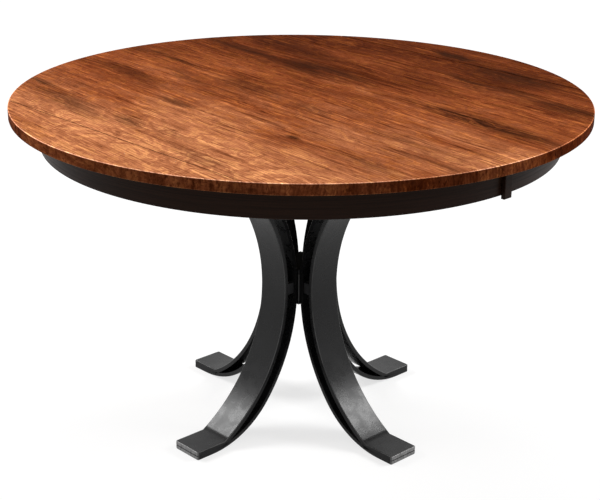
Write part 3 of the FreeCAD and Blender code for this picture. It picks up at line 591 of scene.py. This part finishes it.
def hickory_figure(settings):
    """The stained wood's figure as a node group, which takes a place and its board's shift."""
    group = bpy.data.node_groups.new("hickory_figure", "ShaderNodeTree")
    for name, kind, way in (("Place", "Vector", "INPUT"), ("Board", "Vector", "INPUT"),
                            ("Color", "Color", "OUTPUT"), ("Roughness", "Float", "OUTPUT"),
                            ("Height", "Float", "OUTPUT")):
        group.interface.new_socket(name, in_out=way, socket_type="NodeSocket" + kind)
    inside = group.nodes.new("NodeGroupInput")
    outside = group.nodes.new("NodeGroupOutput")

    # The grain leans a little off the boards' edges, and swirls
    x, y, z = axes_of(group, inside.outputs["Place"])
    place = from_axes(group, minus(group, x, times(group, y, GRAIN_LEAN)), y, z)
    board = vector_of(group, "ADD", place, inside.outputs["Board"])
    swirl = noise(group, scaled(group, place, (9, 4, 9)), detail=4.0, roughness=0.6, output="Color")
    centred = vector_of(group, "SUBTRACT", swirl, (0.5, 0.5, 0.5))
    push = vector_of(group, "MULTIPLY", centred, (0.11, 0.20, 0.11))
    nudge = vector_of(group, "MULTIPLY", push, (0.38, 0.38, 0.38))
    nudged = vector_of(group, "ADD", place, nudge)
    bent = vector_of(group, "ADD", place, push)
    places = {"place": place, "board": board, "nudged": nudged, "bent": bent}
    pattern = {}
    for name, (where, scale, shift, detail, roughness, distortion) in PATTERNS.items():
        vector = scaled(group, places[where], scale, shift)
        pattern[name] = noise(group, vector, 1, detail, roughness, distortion)
    fibre, curl = pattern["fibre"], pattern["curl"]
    late = rings(group, board, pattern["waver"], settings.ring_gap)
    pores = times(group, span(group, pattern["pore"], 0.56, 0.68), span(group, late, 0.75, 0.2))

    # Tone of the stain over the whole top: 0 is pale, 1 is dark. Its steady rise to the right and the back is
    # partly the wood's own tone and partly painted light, a painted sheen to the front left and painted shade
    # to the back right
    own = shader_node(group, "TexWhiteNoise", {"Vector": inside.outputs["Board"]}).outputs["Value"]
    tone = span(group, own, 0, 1, -0.05, 0.05)
    # The x and y shares are partly painted light: painted sheen to the front left, painted shade to the back
    # right
    for value, share in ((x, 0.50), (y, 0.14), (pattern["patch"], 0.86), (minus(group, curl, 0.5), 0.50),
                         (bands(group, nudged, PALE_BANDS), -0.155)):
        tone = plus(group, tone, times(group, value, share))
    pale = span(group, tone, 0.06, 0.46)
    colour = blend(group, pale, opaque(settings.light_wood), opaque(settings.middle_wood))
    colour = blend(group, span(group, tone, 0.36, 0.70), colour, opaque(settings.dark_wood))

    # Grain over the stain, fainter where it is pale
    fibres = times(group, span(group, fibre, 0.48, 0.66, 0, 0.75), span(group, tone, 0.0, 0.5, 0.55, 1.0))
    dashes = times(group, span(group, pattern["dash"], 0.54, 0.62, 0, 0.95),
                   span(group, tone, 0.0, 0.5, 0.72, 1.0))
    dashes = times(group, dashes, span(group, pattern["clump"], 0.40, 0.58, 0.25, 1.0))
    glints = times(group, span(group, pattern["glint"], 0.51, 0.64), span(group, tone, 0.10, 0.60, 0.45, 1.0))
    for tint, factor in (("late wood", times(group, late, 0.50)),
                         ("fibre", fibres),
                         ("dash", dashes),
                         ("glint", glints),
                         ("pale curl", span(group, curl, 0.515, 0.575)),
                         ("dark curl", span(group, curl, 0.47, 0.40, 0, 0.65)),
                         ("hair", span(group, pattern["hair"], 0.45, 0.70, 0, 0.30)),
                         ("pore", times(group, pores, 0.75))):
        colour = tinted(group, factor, colour, TINTS[tint])

    # Mineral streaks, broken up by the fibres
    streaks = plus(group, bands(group, nudged, STREAKS), span(group, pattern["smoke"], 0.54, 0.76, 0, 0.48))
    streaks = times(group, streaks, span(group, pattern["thread"], 0.34, 0.55, 0.38, 1.25), clamp=True)
    streaks = times(group, streaks, span(group, fibre, 0.30, 0.60, 0.60, 1.0))
    colour = blend(group, streaks, colour, opaque(settings.streak))

    # Darker end grain round the rim, and a painted highlight on the eased edge above it
    upright = axes_of(group, shader_node(group, "NewGeometry").outputs["Normal"])[2]
    rim = span(group, math_of(group, "ABSOLUTE", upright), 0.75, 0.35)
    colour = tinted(group, times(group, rim, 0.85), colour, TINTS["end grain"])
    stripes = times(group, rim, span(group, pattern["stripe"], 0.46, 0.66, 0, 0.50))
    colour = tinted(group, stripes, colour, TINTS["end stripe"])
    rim_radius = node_value("top_board_right_5", 1, 0)
    near_rim = near(group, off_axis(group, inside.outputs["Place"]), rim_radius, RIM_FADE)
    painted_edge_highlight = times(group, span(group, upright, 0.20, 0.50), span(group, upright, 0.99, 0.94))
    colour = tinted(group, times(group, painted_edge_highlight, near_rim), colour, TINTS["painted edge highlight"])

    plug(group, outside, {
        "Color": colour,
        "Roughness": plus(group, span(group, fibre, 0.3, 0.7, 0.34, 0.44), times(group, pores, 0.2)),
        "Height": minus(group, times(group, fibre, 0.35), pores)})
    return group


def hickory(group, board):
    """The finish of one board, whose grain starts at its own place in the tree."""
    material, tree, shader, place = new_finish("hickory_board_%d" % board, Specular_IOR_Level=0.0005)
    figure = shader_node(tree, "Group")
    figure.node_tree = group
    shift = (0.021 + 0.173 * board, 1.37 * board, -0.66 - 0.031 * ((board * 3) % 7))
    plug(tree, figure, {"Place": place, "Board": shift})
    plug(tree, shader, {"Base Color": figure.outputs["Color"], "Roughness": figure.outputs["Roughness"]})
    raise_surface(tree, shader, figure.outputs["Height"], distance=0.00012)
    return material


RED_CLOUD = (0.024, 0.010, 0.007)


def dark_stain(name):
    """Near-black stain on bent wood, whose grain runs round the ring."""
    stain = bpy.context.scene.table_apron.stain
    material, tree, shader, place = new_finish(name, Specular_IOR_Level=0.08)
    x, y, z = axes_of(tree, place)
    unrolled = from_axes(tree, math_of(tree, "ARCTAN2", y, x), z, off_axis(tree, place))
    grain = noise(tree, scaled(tree, unrolled, (3.5, 420, 420)), detail=4, roughness=0.6)
    cloud = noise(tree, scaled(tree, unrolled, (2.2, 26, 26)), detail=3)
    colour = blend(tree, span(tree, grain, 0.35, 0.7), opaque(stain), opaque(stain, 0.45))
    colour = blend(tree, span(tree, cloud, 0.45, 0.8, 0, 0.5), colour, opaque(RED_CLOUD))
    plug(tree, shader, {"Base Color": colour, "Roughness": span(tree, grain, 0.3, 0.7, 0.34, 0.46)})
    raise_surface(tree, shader, grain, distance=0.00008)
    return material


DARK_GRAIN = (0.55, 0.42, 0.30)


def plain_wood(name, light, dark, along=0):
    """Unstained wood whose grain runs along one axis."""
    material, tree, shader, place = new_finish(name, Specular_IOR_Level=0.3)
    fine = [520, 520, 520]
    fine[along] = 9
    broad = [34, 34, 34]
    broad[along] = 2.2
    grain = noise(tree, scaled(tree, place, fine), detail=4, roughness=0.6)
    cloud = noise(tree, scaled(tree, place, broad), detail=3, distortion=0.4)
    colour = blend(tree, span(tree, cloud, 0.35, 0.7), opaque(light), opaque(dark))
    colour = tinted(tree, span(tree, grain, 0.45, 0.75, 0, 0.4), colour, DARK_GRAIN)
    plug(tree, shader, {"Base Color": colour, "Roughness": span(tree, grain, 0.3, 0.7, 0.55, 0.70)})
    raise_surface(tree, shader, grain, distance=0.00010)
    return material


# Colours of the steel where it is pitted, sawn, rubbed with a painted highlight, and the painted shade in the
# joint between the bars
PITTED_STEEL = (0.060, 0.058, 0.056)
SAWN_STEEL = (0.44, 0.44, 0.44)
RUBBED_AND_HIGHLIT_STEEL = (0.13, 0.13, 0.13)
PAINTED_JOINT_SHADE = (0.004, 0.004, 0.004)
# How far from an edge or the joint they start to show, and are at their full
SAWN_FADE = (0.0045, 0.0010)
RUBBED_AND_HIGHLIT_FADE = (0.0026, 0.0014)
JOINT_SHADE_FADE = (0.0016, 0.0006)


def black_steel(name, level, gloss, tone):
    """Blackened flat bar with a worked face, rubbed edges that carry a painted highlight, paler sawn ends and
    painted shade in the joint between the bars.
    """
    steel = bpy.context.scene.table_pedestal.steel
    toe_end = node_value("inner_bar_right", 1, 0)
    half_width = node_value("inner_bar_right", 1, 1)
    joint_height = node_value("outer_bar_right", 0, 2)
    material, tree, shader, place = new_finish(name, Specular_IOR_Level=level)
    worked = noise(tree, place, scale=34, detail=3, roughness=0.55, distortion=0.3)
    pitted = noise(tree, place, scale=420, detail=3, roughness=0.65)
    smoky = noise(tree, place, scale=9, detail=4, roughness=0.6)
    colour = blend(tree, span(tree, smoky, 0.35, 0.7), opaque(steel, tone), opaque(steel, 1.9 * tone))
    colour = blend(tree, span(tree, pitted, 0.6, 0.75, 0, 0.5), colour, opaque(PITTED_STEEL))

    # Along a leg, far is the distance out and across the distance off its middle line
    corner = axes_of(tree, place)
    facing = axes_of(tree, shader_node(tree, "NewGeometry").outputs["Normal"])
    x, y, normal_x, normal_y, normal_z = [math_of(tree, "ABSOLUTE", value) for value in corner[:2] + facing]
    far = math_of(tree, "MAXIMUM", x, y)
    across = math_of(tree, "MINIMUM", x, y)
    along_x = math_of(tree, "GREATER_THAN", x, y)
    sideways = plus(tree, times(tree, along_x, normal_y), times(tree, minus(tree, 1.0, along_x), normal_x))

    # Sawn ends, with painted shade in the joint between the bars
    marks = noise(tree, scaled(tree, place, (700, 700, 60)), detail=2)
    sawn = times(tree, near(tree, far, toe_end, SAWN_FADE), span(tree, normal_z, 0.97, 0.80))
    bright = times(tree, sawn, span(tree, marks, 0.4, 0.6, 0.35, 0.9))
    colour = blend(tree, bright, colour, opaque(SAWN_STEEL))
    off_joint = math_of(tree, "ABSOLUTE", minus(tree, corner[2], joint_height))
    # Painted shade in the joint between the bars' sawn ends
    joint = times(tree, span(tree, off_joint, *JOINT_SHADE_FADE), sawn)
    colour = blend(tree, joint, colour, opaque(PAINTED_JOINT_SHADE))

    # Rubbed long edges, paler as wear and as a painted highlight
    rubbed_and_highlit = times(tree, span(tree, sideways, 0.12, 0.40), span(tree, sideways, 0.985, 0.86))
    rubbed_and_highlit = times(tree, rubbed_and_highlit, near(tree, across, half_width, RUBBED_AND_HIGHLIT_FADE))
    worn_and_highlit = times(tree, rubbed_and_highlit, span(tree, smoky, 0.35, 0.6, 0.25, 0.8))
    colour = blend(tree, worn_and_highlit, colour, opaque(RUBBED_AND_HIGHLIT_STEEL))

    rough = span(tree, worked, 0.3, 0.7, gloss, gloss + 0.10)
    rough = plus(tree, rough, span(tree, pitted, 0.5, 0.8, 0, 0.12))
    plug(tree, shader, {"Base Color": colour, "Roughness": rough})
    raise_surface(tree, shader, plus(tree, worked, times(tree, pitted, 0.22)), distance=0.00022)
    return material


def bare_metal(name, tint, rough, marks=(300, 300, 300)):
    """Bare or plated metal with turned or drawn marks."""
    material, tree, shader, place = new_finish(name, Metallic=1.0)
    drawn = noise(tree, scaled(tree, place, marks), detail=3, roughness=0.6)
    cloud = noise(tree, place, scale=60, detail=3)
    colour = blend(tree, span(tree, cloud, 0.35, 0.7), opaque(tint), opaque(tint, 0.62))
    plug(tree, shader, {"Base Color": colour, "Roughness": span(tree, drawn, 0.3, 0.7, rough, rough + 0.16)})
    raise_surface(tree, shader, drawn, distance=0.00004)
    return material


# Finishes that pieces share: what makes each, and the values that it is made from
MAKERS = {
    "maple": (plain_wood, (0.56, 0.38, 0.21), (0.43, 0.27, 0.14)),
    "cross_maple": (plain_wood, (0.52, 0.36, 0.20), (0.40, 0.25, 0.13), 1),
    "birch": (plain_wood, (0.50, 0.33, 0.17), (0.38, 0.23, 0.11)),
    "zinc": (bare_metal, (0.60, 0.60, 0.57), 0.28),
    "machined_steel": (bare_metal, (0.36, 0.36, 0.37), 0.30, (30, 900, 900)),
    "brass": (bare_metal, (0.62, 0.44, 0.16), 0.26, (200, 800, 800)),
    "dark_stain": (dark_stain,),
    "black_steel": (black_steel, 0.235, 0.225, 1.0),
    "scaly_steel": (black_steel, 0.05, 0.75, 1.0),
    # A copy of the black steel four times paler, which paints a highlight on the spacers
    "filed_steel": (black_steel, 0.30, 0.30, 4.0),
}
FINISHES = {}


def finish(name):
    """A shared material, made the first time that it is asked for."""
    if name not in FINISHES:
        make, *values = MAKERS[name]
        FINISHES[name] = make(name, *values)
    return FINISHES[name]


# Pieces

class TABLE_OT_top_boards(bpy.types.Operator):
    """Cut the glued boards of both halves from one round top"""

    bl_idname = "table.top_boards"
    bl_label = "Top boards"

    def add_pin_holes(self, board, face):
        """Drill the seam face for the other half's leaf pins."""
        clearance, overshoot, sides = 0.0005, 0.005, 24
        for low, high in islands("leaf_pins_left"):
            y, z = (low.y + high.y) / 2, (low.z + high.z) / 2
            pin = add_cylinder("pin_hole", (high.z - low.z) / 2 + clearance, (face - overshoot, y, z),
                               (high.x + clearance, y, z), sides, (0, math.pi / 2, 0))
            drill(board, pin)

    def execute(self, context):
        settings = context.scene.table_top
        group = hickory_figure(settings)
        radius = node_value("top_board_right_5", 1, 0)
        rim_sides = 360

        def on_rim(points):
            return same(points[0].z, points[1].z) and all(
                same(math.hypot(p.x, p.y), radius, 10 * HAIR) for p in points)

        for side, (half, turn) in enumerate(HALVES.items()):
            for number in range(1, BOARDS_A_HALF + 1):
                low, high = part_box("top_board_right_%d" % number)
                if number == 1:
                    low.x = settings.seam_gap / 2
                board = add_cylinder("board", radius, (0, 0, low.z), (0, 0, high.z), rim_sides)
                saw(board, (low.x, 0, 0), (1, 0, 0))
                if number < BOARDS_A_HALF:
                    saw(board, (high.x, 0, 0), (-1, 0, 0))
                bevel(board, on_rim, settings.edge_round)
                if number == 1:
                    bevel(board, lambda points: same(points[0].z, points[1].z) and all(
                        same(p.x, low.x) for p in points), settings.seam_round, segments=2)
                    self.add_pin_holes(board, low.x)
                settle(board)
                board.data.transform(Matrix.Rotation(turn, 4, "Z"))
                material = hickory(group, side * BOARDS_A_HALF + number)
                dress(board, "top_half_" + half, material, "top_board_%s_%d" % (half, number))
        return {"FINISHED"}


class TABLE_OT_aprons(bpy.types.Operator):
    """Bend the apron halves and set a batten over each seam"""

    bl_idname = "table.aprons"
    bl_label = "Aprons"

    def execute(self, context):
        settings = context.scene.table_apron
        low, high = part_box("apron_right")
        middle = high.x - settings.thickness / 2
        apron_steps = 144
        apron = add_plate("apron", (0, -middle, (low.z + high.z) / 2), high.z - low.z, settings.thickness,
                          (0, math.pi / 2, 0))
        pick(apron, "FACE")
        sweep(apron_steps, math.pi, (0, 0, 0), (0, 0, 1))
        saw(apron, (low.x, 0, 0), (1, 0, 0))
        bevel(apron, lambda points: all(same(p.z, low.z) for p in points)
              and same(math.hypot(*points[0].xy), math.hypot(*points[1].xy)), settings.edge_round)
        settle(apron)
        for half, turn in HALVES.items():
            body = "top_half_" + half
            dress(copy_of(apron, turn), body, finish("dark_stain"), "apron_" + half)
        bpy.data.objects.remove(apron)

        low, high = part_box("seam_batten_front")
        seam = node_value("apron_right", 0, 0)
        step, corner_round = 0.0004, 0.0012
        batten = add_box("batten", low, high)
        pick(batten, "FACE")
        bpy.ops.mesh.bisect(plane_co=(seam, 0, 0), plane_no=(1, 0, 0))
        pick(batten, "FACE", every(lambda p: same(p.y, high.y) and p.x < seam + HAIR))
        bpy.ops.transform.translate(value=(0, -step, 0))
        bevel(batten, lambda points: all(p.y < low.y + HAIR for p in points)
              and not all(same(p.x, seam) for p in points), corner_round)
        settle(batten)
        for name, half, turn in (("seam_batten_front", "right", 0), ("seam_batten_back", "left", math.pi)):
            dress(copy_of(batten, turn), "top_half_" + half, finish("dark_stain"), name)
        bpy.data.objects.remove(batten)
        return {"FINISHED"}


class TABLE_OT_leg_bars(bpy.types.Operator):
    """Bend the outer and inner bars of the four legs"""

    bl_idname = "table.leg_bars"
    bl_label = "Leg bars"

    def half_bar(self, name, inside, outside, half_width):
        """The bar's section at the waist, ready to be bent downwards."""
        bar = add_plate(name, ((inside + outside) / 2, 0, 0), outside - inside, 2 * half_width)
        pick(bar, "FACE")
        return bar

    def mirrored(self, bar, waist):
        """Mirror the lower half of a bar upwards, and bring both to their real height."""
        if pick(bar, "FACE", every(lambda p: same(p.z, 0))):
            bpy.ops.mesh.delete(type="FACE")
        take(bar)
        modifier = bar.modifiers.new("upper half", "MIRROR")
        modifier.use_axis = (False, False, True)
        modifier.merge_threshold = HAIR
        bpy.ops.object.modifier_apply(modifier=modifier.name)
        bar.data.transform(Matrix.Translation((0, 0, waist)))

    def execute(self, context):
        settings = context.scene.table_pedestal
        low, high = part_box("outer_bar_right")
        half_width, toe = high.y, high.x
        # The outer bar lies on the inner one, so its lowest face is one thickness up
        thickness = low.z
        waist = (low.z + high.z) / 2
        waist_face = low.x + thickness
        drop = waist - 2 * thickness
        spread = settings.crease_radius - waist_face
        bend = (drop ** 2 + spread ** 2) / (2 * spread)
        centre = waist_face + bend
        angle = math.asin(drop / bend)
        steps = 28

        # The outer bar: its bend, the mitre at its crease, and its foot
        outer = self.half_bar("outer_bar", low.x, waist_face, half_width)
        sweep(steps, angle, (centre, 0, 0), (0, -1, 0))
        back = bend + thickness
        under_drop = waist - thickness
        under_crease = centre - math.sqrt(back ** 2 - under_drop ** 2)
        end_x, end_z = centre - back * math.cos(angle), -back * math.sin(angle)
        found = pick(outer, "VERT", every(lambda p: same(p.x, end_x) and same(p.z, end_z)))
        if found != 2:
            raise RuntimeError("the outer bar's bend has not come out as planned: %d" % found)
        bpy.ops.transform.translate(value=(under_crease - end_x, 0, -under_drop - end_z))

        def on_mitre(p):
            return (same(p.x, settings.crease_radius) and same(p.z, -drop)
                    or same(p.x, under_crease) and same(p.z, -under_drop))

        pick(outer, "FACE", every(on_mitre))
        push_out(toe - settings.crease_radius)
        pick(outer, "VERT", every(lambda p: same(p.z, -under_drop) and p.x > under_crease + thickness))
        bpy.ops.transform.translate(value=(settings.crease_radius - under_crease, 0, 0))
        self.mirrored(outer, waist)

        def on_outer_face(p):
            return (same(math.hypot(p.x - centre, p.z - waist), bend, NEAR_CURVE)
                    or same(abs(p.z - waist), drop))

        corner_start = toe - settings.corner_round - HAIR

        def corner(points):
            return (all(same(p.x, toe) for p in points) and same(points[0].y, points[1].y)
                    and same(points[0].z, points[1].z, 2 * thickness))

        def rounded(on_face):
            return lambda points: all(on_face(p) for p in points) and (
                same(points[0].y, points[1].y) or all(p.x > corner_start for p in points))

        joint = every(lambda p: p.x > corner_start and same(abs(p.z - waist), under_drop))
        bevel(outer, corner, settings.corner_round, segments=4)
        bevel(outer, rounded(on_outer_face), settings.edge_round)
        let_in = copy_of(outer)
        bevel(outer, joint, settings.joint_round, segments=2)
        settle(outer)

        # The inner bar: its bend, its heel, and its foot, with the outer bar let in
        inner_low = node_value("inner_bar_right", 0, 0)
        inner_back = centre - inner_low
        heel_offset = centre - settings.heel_start
        heel = (inner_back ** 2 - heel_offset ** 2 - waist ** 2) / (2 * (inner_back - waist))
        join = math.atan2(waist - heel, heel_offset)
        inner = self.half_bar("inner_bar", inner_low, inner_low + thickness, half_width)
        sweep(steps, join, (centre, 0, 0), (0, -1, 0))
        sweep(steps // 2, math.pi / 2 - join, (settings.heel_start, 0, heel - waist), (0, -1, 0))
        push_out(toe - settings.heel_start)
        self.mirrored(inner, waist)

        def on_inner_back(p):
            off_heel = math.hypot(p.x - settings.heel_start, abs(p.z - waist) - waist + heel)
            return (same(math.hypot(p.x - centre, p.z - waist), inner_back, NEAR_CURVE)
                    or same(off_heel, heel, NEAR_CURVE) or same(abs(p.z - waist), waist))

        bevel(inner, corner, settings.corner_round, segments=4)
        bevel(inner, rounded(on_inner_back), settings.edge_round)
        bevel(inner, joint, settings.joint_round, segments=2)
        drill(inner, let_in)
        settle(inner)
        for leg, turn in LEGS.items():
            for kind, bar in (("outer_bar_", outer), ("inner_bar_", inner)):
                dress(copy_of(bar, turn), "pedestal", finish("black_steel"), kind + leg)
        bpy.data.objects.remove(outer)
        bpy.data.objects.remove(inner)
        return {"FINISHED"}


class TABLE_OT_waist(bpy.types.Operator):
    """Make the hub, the spacers and the weld beads of the waist"""

    bl_idname = "table.waist"
    bl_label = "Waist"

    def execute(self, context):
        dress_eased("hub", EASE_STEEL, "pedestal", "scaly_steel")
        # The spacers take the paler steel, a painted highlight
        for leg in LEGS:
            dress_eased("spacer_" + leg, EASE_STEEL, "pedestal", "filed_steel")
        radius, ripples, swell, sides = 0.0021, 27, 1.18, 10
        beads = []
        for number, (low, high) in enumerate(islands("weld_beads")):
            middle = (low + high) / 2
            pitch = (high.z - low.z) / (2 * ripples)
            bead = add_cylinder("bead_%d" % number, radius, (middle.x, middle.y, low.z),
                                (middle.x, middle.y, low.z + pitch), sides)
            pick(bead, "FACE", every(lambda p: same(p.z, low.z + pitch)))
            for step in range(2 * ripples - 1):
                push_out(0, pitch)
                change = swell if step % 2 else 1 / swell
                bpy.ops.transform.resize(value=(change, change, 1))
            beads.append(bead)
        dress(settle(joined(beads)), "pedestal", finish("black_steel"), "weld_beads")
        return {"FINISHED"}


class TABLE_OT_slides(bpy.types.Operator):
    """Ease the wooden slides, the board that carries them and the blocks"""

    bl_idname = "table.slides"
    bl_label = "Slides"

    def execute(self, context):
        dress_eased("mounting_board", EASE_BLOCK, "pedestal", "cross_maple")
        for node, width in (("fixed_rail_back", EASE_RAIL), ("fixed_rail_front", EASE_RAIL),
                            ("slide_stops", EASE_STOP)):
            dress_eased(node, width, "pedestal", "maple")
        for half in HALVES:
            body = "top_half_" + half
            for node, width in (("moving_rail_%s_back", EASE_RAIL), ("moving_rail_%s_front", EASE_RAIL),
                                ("glue_blocks_%s", EASE_BLOCK), ("rack_block_%s", EASE_RAIL)):
                dress_eased(node % half, width, body, "maple")
            dress_eased("leaf_pins_" + half, EASE_PIN, body, "birch")
        return {"FINISHED"}


class TABLE_OT_gearing(bpy.types.Operator):
    """Finish the racks, the pinion and its post, bolt and nut"""

    bl_idname = "table.gearing"
    bl_label = "Gearing"

    def execute(self, context):
        for node, body in (("rack_right", "top_half_right"), ("rack_left", "top_half_left"),
                           ("pinion", "pinion"), ("pinion_post", "pedestal")):
            dress_eased(node, EASE_GEAR, body, "machined_steel", segments=1)
        for node in ("pinion_bolt", "pinion_nut"):
            dress_eased(node, EASE_GEAR, "pedestal", "zinc", segments=1)
        return {"FINISHED"}


class TABLE_OT_fasteners(bpy.types.Operator):
    """Finish the bolts, nuts and wood screws"""

    bl_idname = "table.fasteners"
    bl_label = "Fasteners"

    def execute(self, context):
        for node, body in (("pedestal_bolts", "pedestal"), ("pedestal_nuts", "pedestal"),
                           ("fixed_rail_screws", "pedestal"), ("slide_screws_right", "top_half_right"),
                           ("slide_screws_left", "top_half_left")):
            dress_eased(node, EASE_FASTENER, body, "zinc")
        return {"FINISHED"}


class TABLE_OT_locks(bpy.types.Operator):
    """Finish the table locks"""

    bl_idname = "table.locks"
    bl_label = "Locks"

    def execute(self, context):
        for node, body in (("lock_base_back", "top_half_right"), ("lock_base_front", "top_half_left"),
                           ("lock_keeper_front", "top_half_right"), ("lock_keeper_back", "top_half_left"),
                           ("lock_lever_front", "lock_lever_front"), ("lock_lever_back", "lock_lever_back")):
            dress_eased(node, EASE_LOCK, body, "brass")
        return {"FINISHED"}


class TABLE_OT_stage(bpy.types.Operator):
    """Set the floor, the light and the camera"""

    bl_idname = "table.stage"
    bl_label = "Stage"

    def add_floor(self, settings):
        start_fresh()
        bpy.ops.mesh.primitive_circle_add(vertices=128, radius=FLOOR_RADIUS, fill_type="NGON")
        floor = new_piece("floor")
        material, tree, shader, place = new_finish("pale_floor", Roughness=0.9, Specular_IOR_Level=0.0)
        mottle = noise(tree, place, scale=3, detail=3)
        colour = blend(tree, span(tree, mottle, 0.3, 0.7), opaque(settings.floor_colour),
                       opaque(settings.floor_colour, 0.985))

        # A glow that only the camera and mirroring faces see
        rays = shader_node(tree, "LightPath").outputs
        mirrored = plus(tree, rays["Is Glossy Ray"], rays["Is Transmission Ray"], clamp=True)
        glow = times(tree, rays["Is Camera Ray"], span(tree, length_of(tree, place), 1.2, 5.0, 0.71, 0.88))
        glow = plus(tree, glow, times(tree, mirrored, 0.45))
        plug(tree, shader, {"Base Color": colour, "Emission Color": (1, 1, 1, 1), "Emission Strength": glow})

        # Seen from below, the floor is clear
        clear = shader_node(tree, "BsdfTransparent").outputs[0]
        sides = shader_node(tree, "MixShader", {0: shader_node(tree, "NewGeometry").outputs["Backfacing"],
                                                1: shader.outputs[0], 2: clear})
        tree.links.new(sides.outputs[0], tree.nodes["Material Output"].inputs["Surface"])
        floor.data.materials.append(material)

    def add_world(self, settings):
        world = bpy.data.worlds.new("studio")
        bpy.context.scene.world = world
        world.use_nodes = True
        tree = world.node_tree
        rays = shader_node(tree, "LightPath").outputs
        seen = plus(tree, rays["Is Camera Ray"], rays["Is Glossy Ray"], clamp=True)
        seen = plus(tree, seen, rays["Is Transmission Ray"], clamp=True)
        strength = shader_node(tree, "MapRange", {"Value": seen, "To Min": settings.fill, "To Max": 1.0})
        plug(tree, tree.nodes["Background"], {"Color": (1, 1, 1, 1), "Strength": strength.outputs["Result"]})

    def add_lamp(self, name, place, target, power):
        lamp = bpy.data.lights.new(name, "AREA")
        lamp.shape = "RECTANGLE"
        lamp.size, lamp.size_y = LAMP_SIZE
        lamp.energy = power
        item = bpy.data.objects.new(name, lamp)
        show(item)
        item.location = place
        item.rotation_euler = (Vector(target) - Vector(place)).to_track_quat("-Z", "Y").to_euler()

    def add_camera(self, settings):
        aim = Vector(settings.camera_aim).normalized()
        side = aim.cross(Vector((0, 0, 1))).normalized()
        turn = Matrix((side, side.cross(aim), -aim)).transposed().to_4x4()
        roll = Matrix.Rotation(settings.camera_roll, 4, "Z")
        camera = bpy.data.objects.new("camera", bpy.data.cameras.new("camera"))
        show(camera)
        camera.data.lens = settings.lens
        camera.data.sensor_width = 36
        camera.data.sensor_fit = "HORIZONTAL"
        camera.data.clip_end = 60
        camera.matrix_world = Matrix.Translation(settings.camera_place) @ turn @ roll
        bpy.context.scene.camera = camera

    def execute(self, context):
        settings = context.scene.table_stage
        self.add_floor(settings)
        self.add_world(settings)
        self.add_lamp("left_lamp", (-1.22, 2.25, 2.3), (-0.2, 0, 0.1), settings.left_power)
        self.add_lamp("right_lamp", (2.25, -1.46, 2.22), (0, -0.2, 0.1), settings.right_power)
        self.add_camera(settings)
        context.scene.view_settings.view_transform = "Standard"
        return {"FINISHED"}


class TABLE_PT_panel(bpy.types.Panel):
    """Lists the pieces of the table"""

    bl_idname = "TABLE_PT_panel"
    bl_label = "Table"
    bl_space_type = "VIEW_3D"
    bl_region_type = "UI"
    bl_category = "Table"

    def draw(self, context):
        for operator in OPERATORS:
            self.layout.operator(operator.bl_idname)


OPERATORS = (
    TABLE_OT_top_boards,
    TABLE_OT_aprons,
    TABLE_OT_leg_bars,
    TABLE_OT_waist,
    TABLE_OT_slides,
    TABLE_OT_gearing,
    TABLE_OT_fasteners,
    TABLE_OT_locks,
    TABLE_OT_stage,
)
SETTINGS = {
    "table_top": TableTopSettings,
    "table_apron": ApronSettings,
    "table_pedestal": PedestalSettings,
    "table_stage": StageSettings,
}


def register():
    for group in list(SETTINGS.values()) + list(OPERATORS) + [TABLE_PT_panel]:
        bpy.utils.register_class(group)
    for name, group in SETTINGS.items():
        setattr(bpy.types.Scene, name, PointerProperty(type=group))


def unregister():
    for name in SETTINGS:
        delattr(bpy.types.Scene, name)
    for group in [TABLE_PT_panel] + list(reversed(OPERATORS)) + list(SETTINGS.values()):
        bpy.utils.unregister_class(group)


def main():
    register()
    for operator in OPERATORS:
        family, name = operator.bl_idname.split(".")
        getattr(getattr(bpy.ops, family), name)()
    start_fresh()


if __name__ == "__main__":
    main()
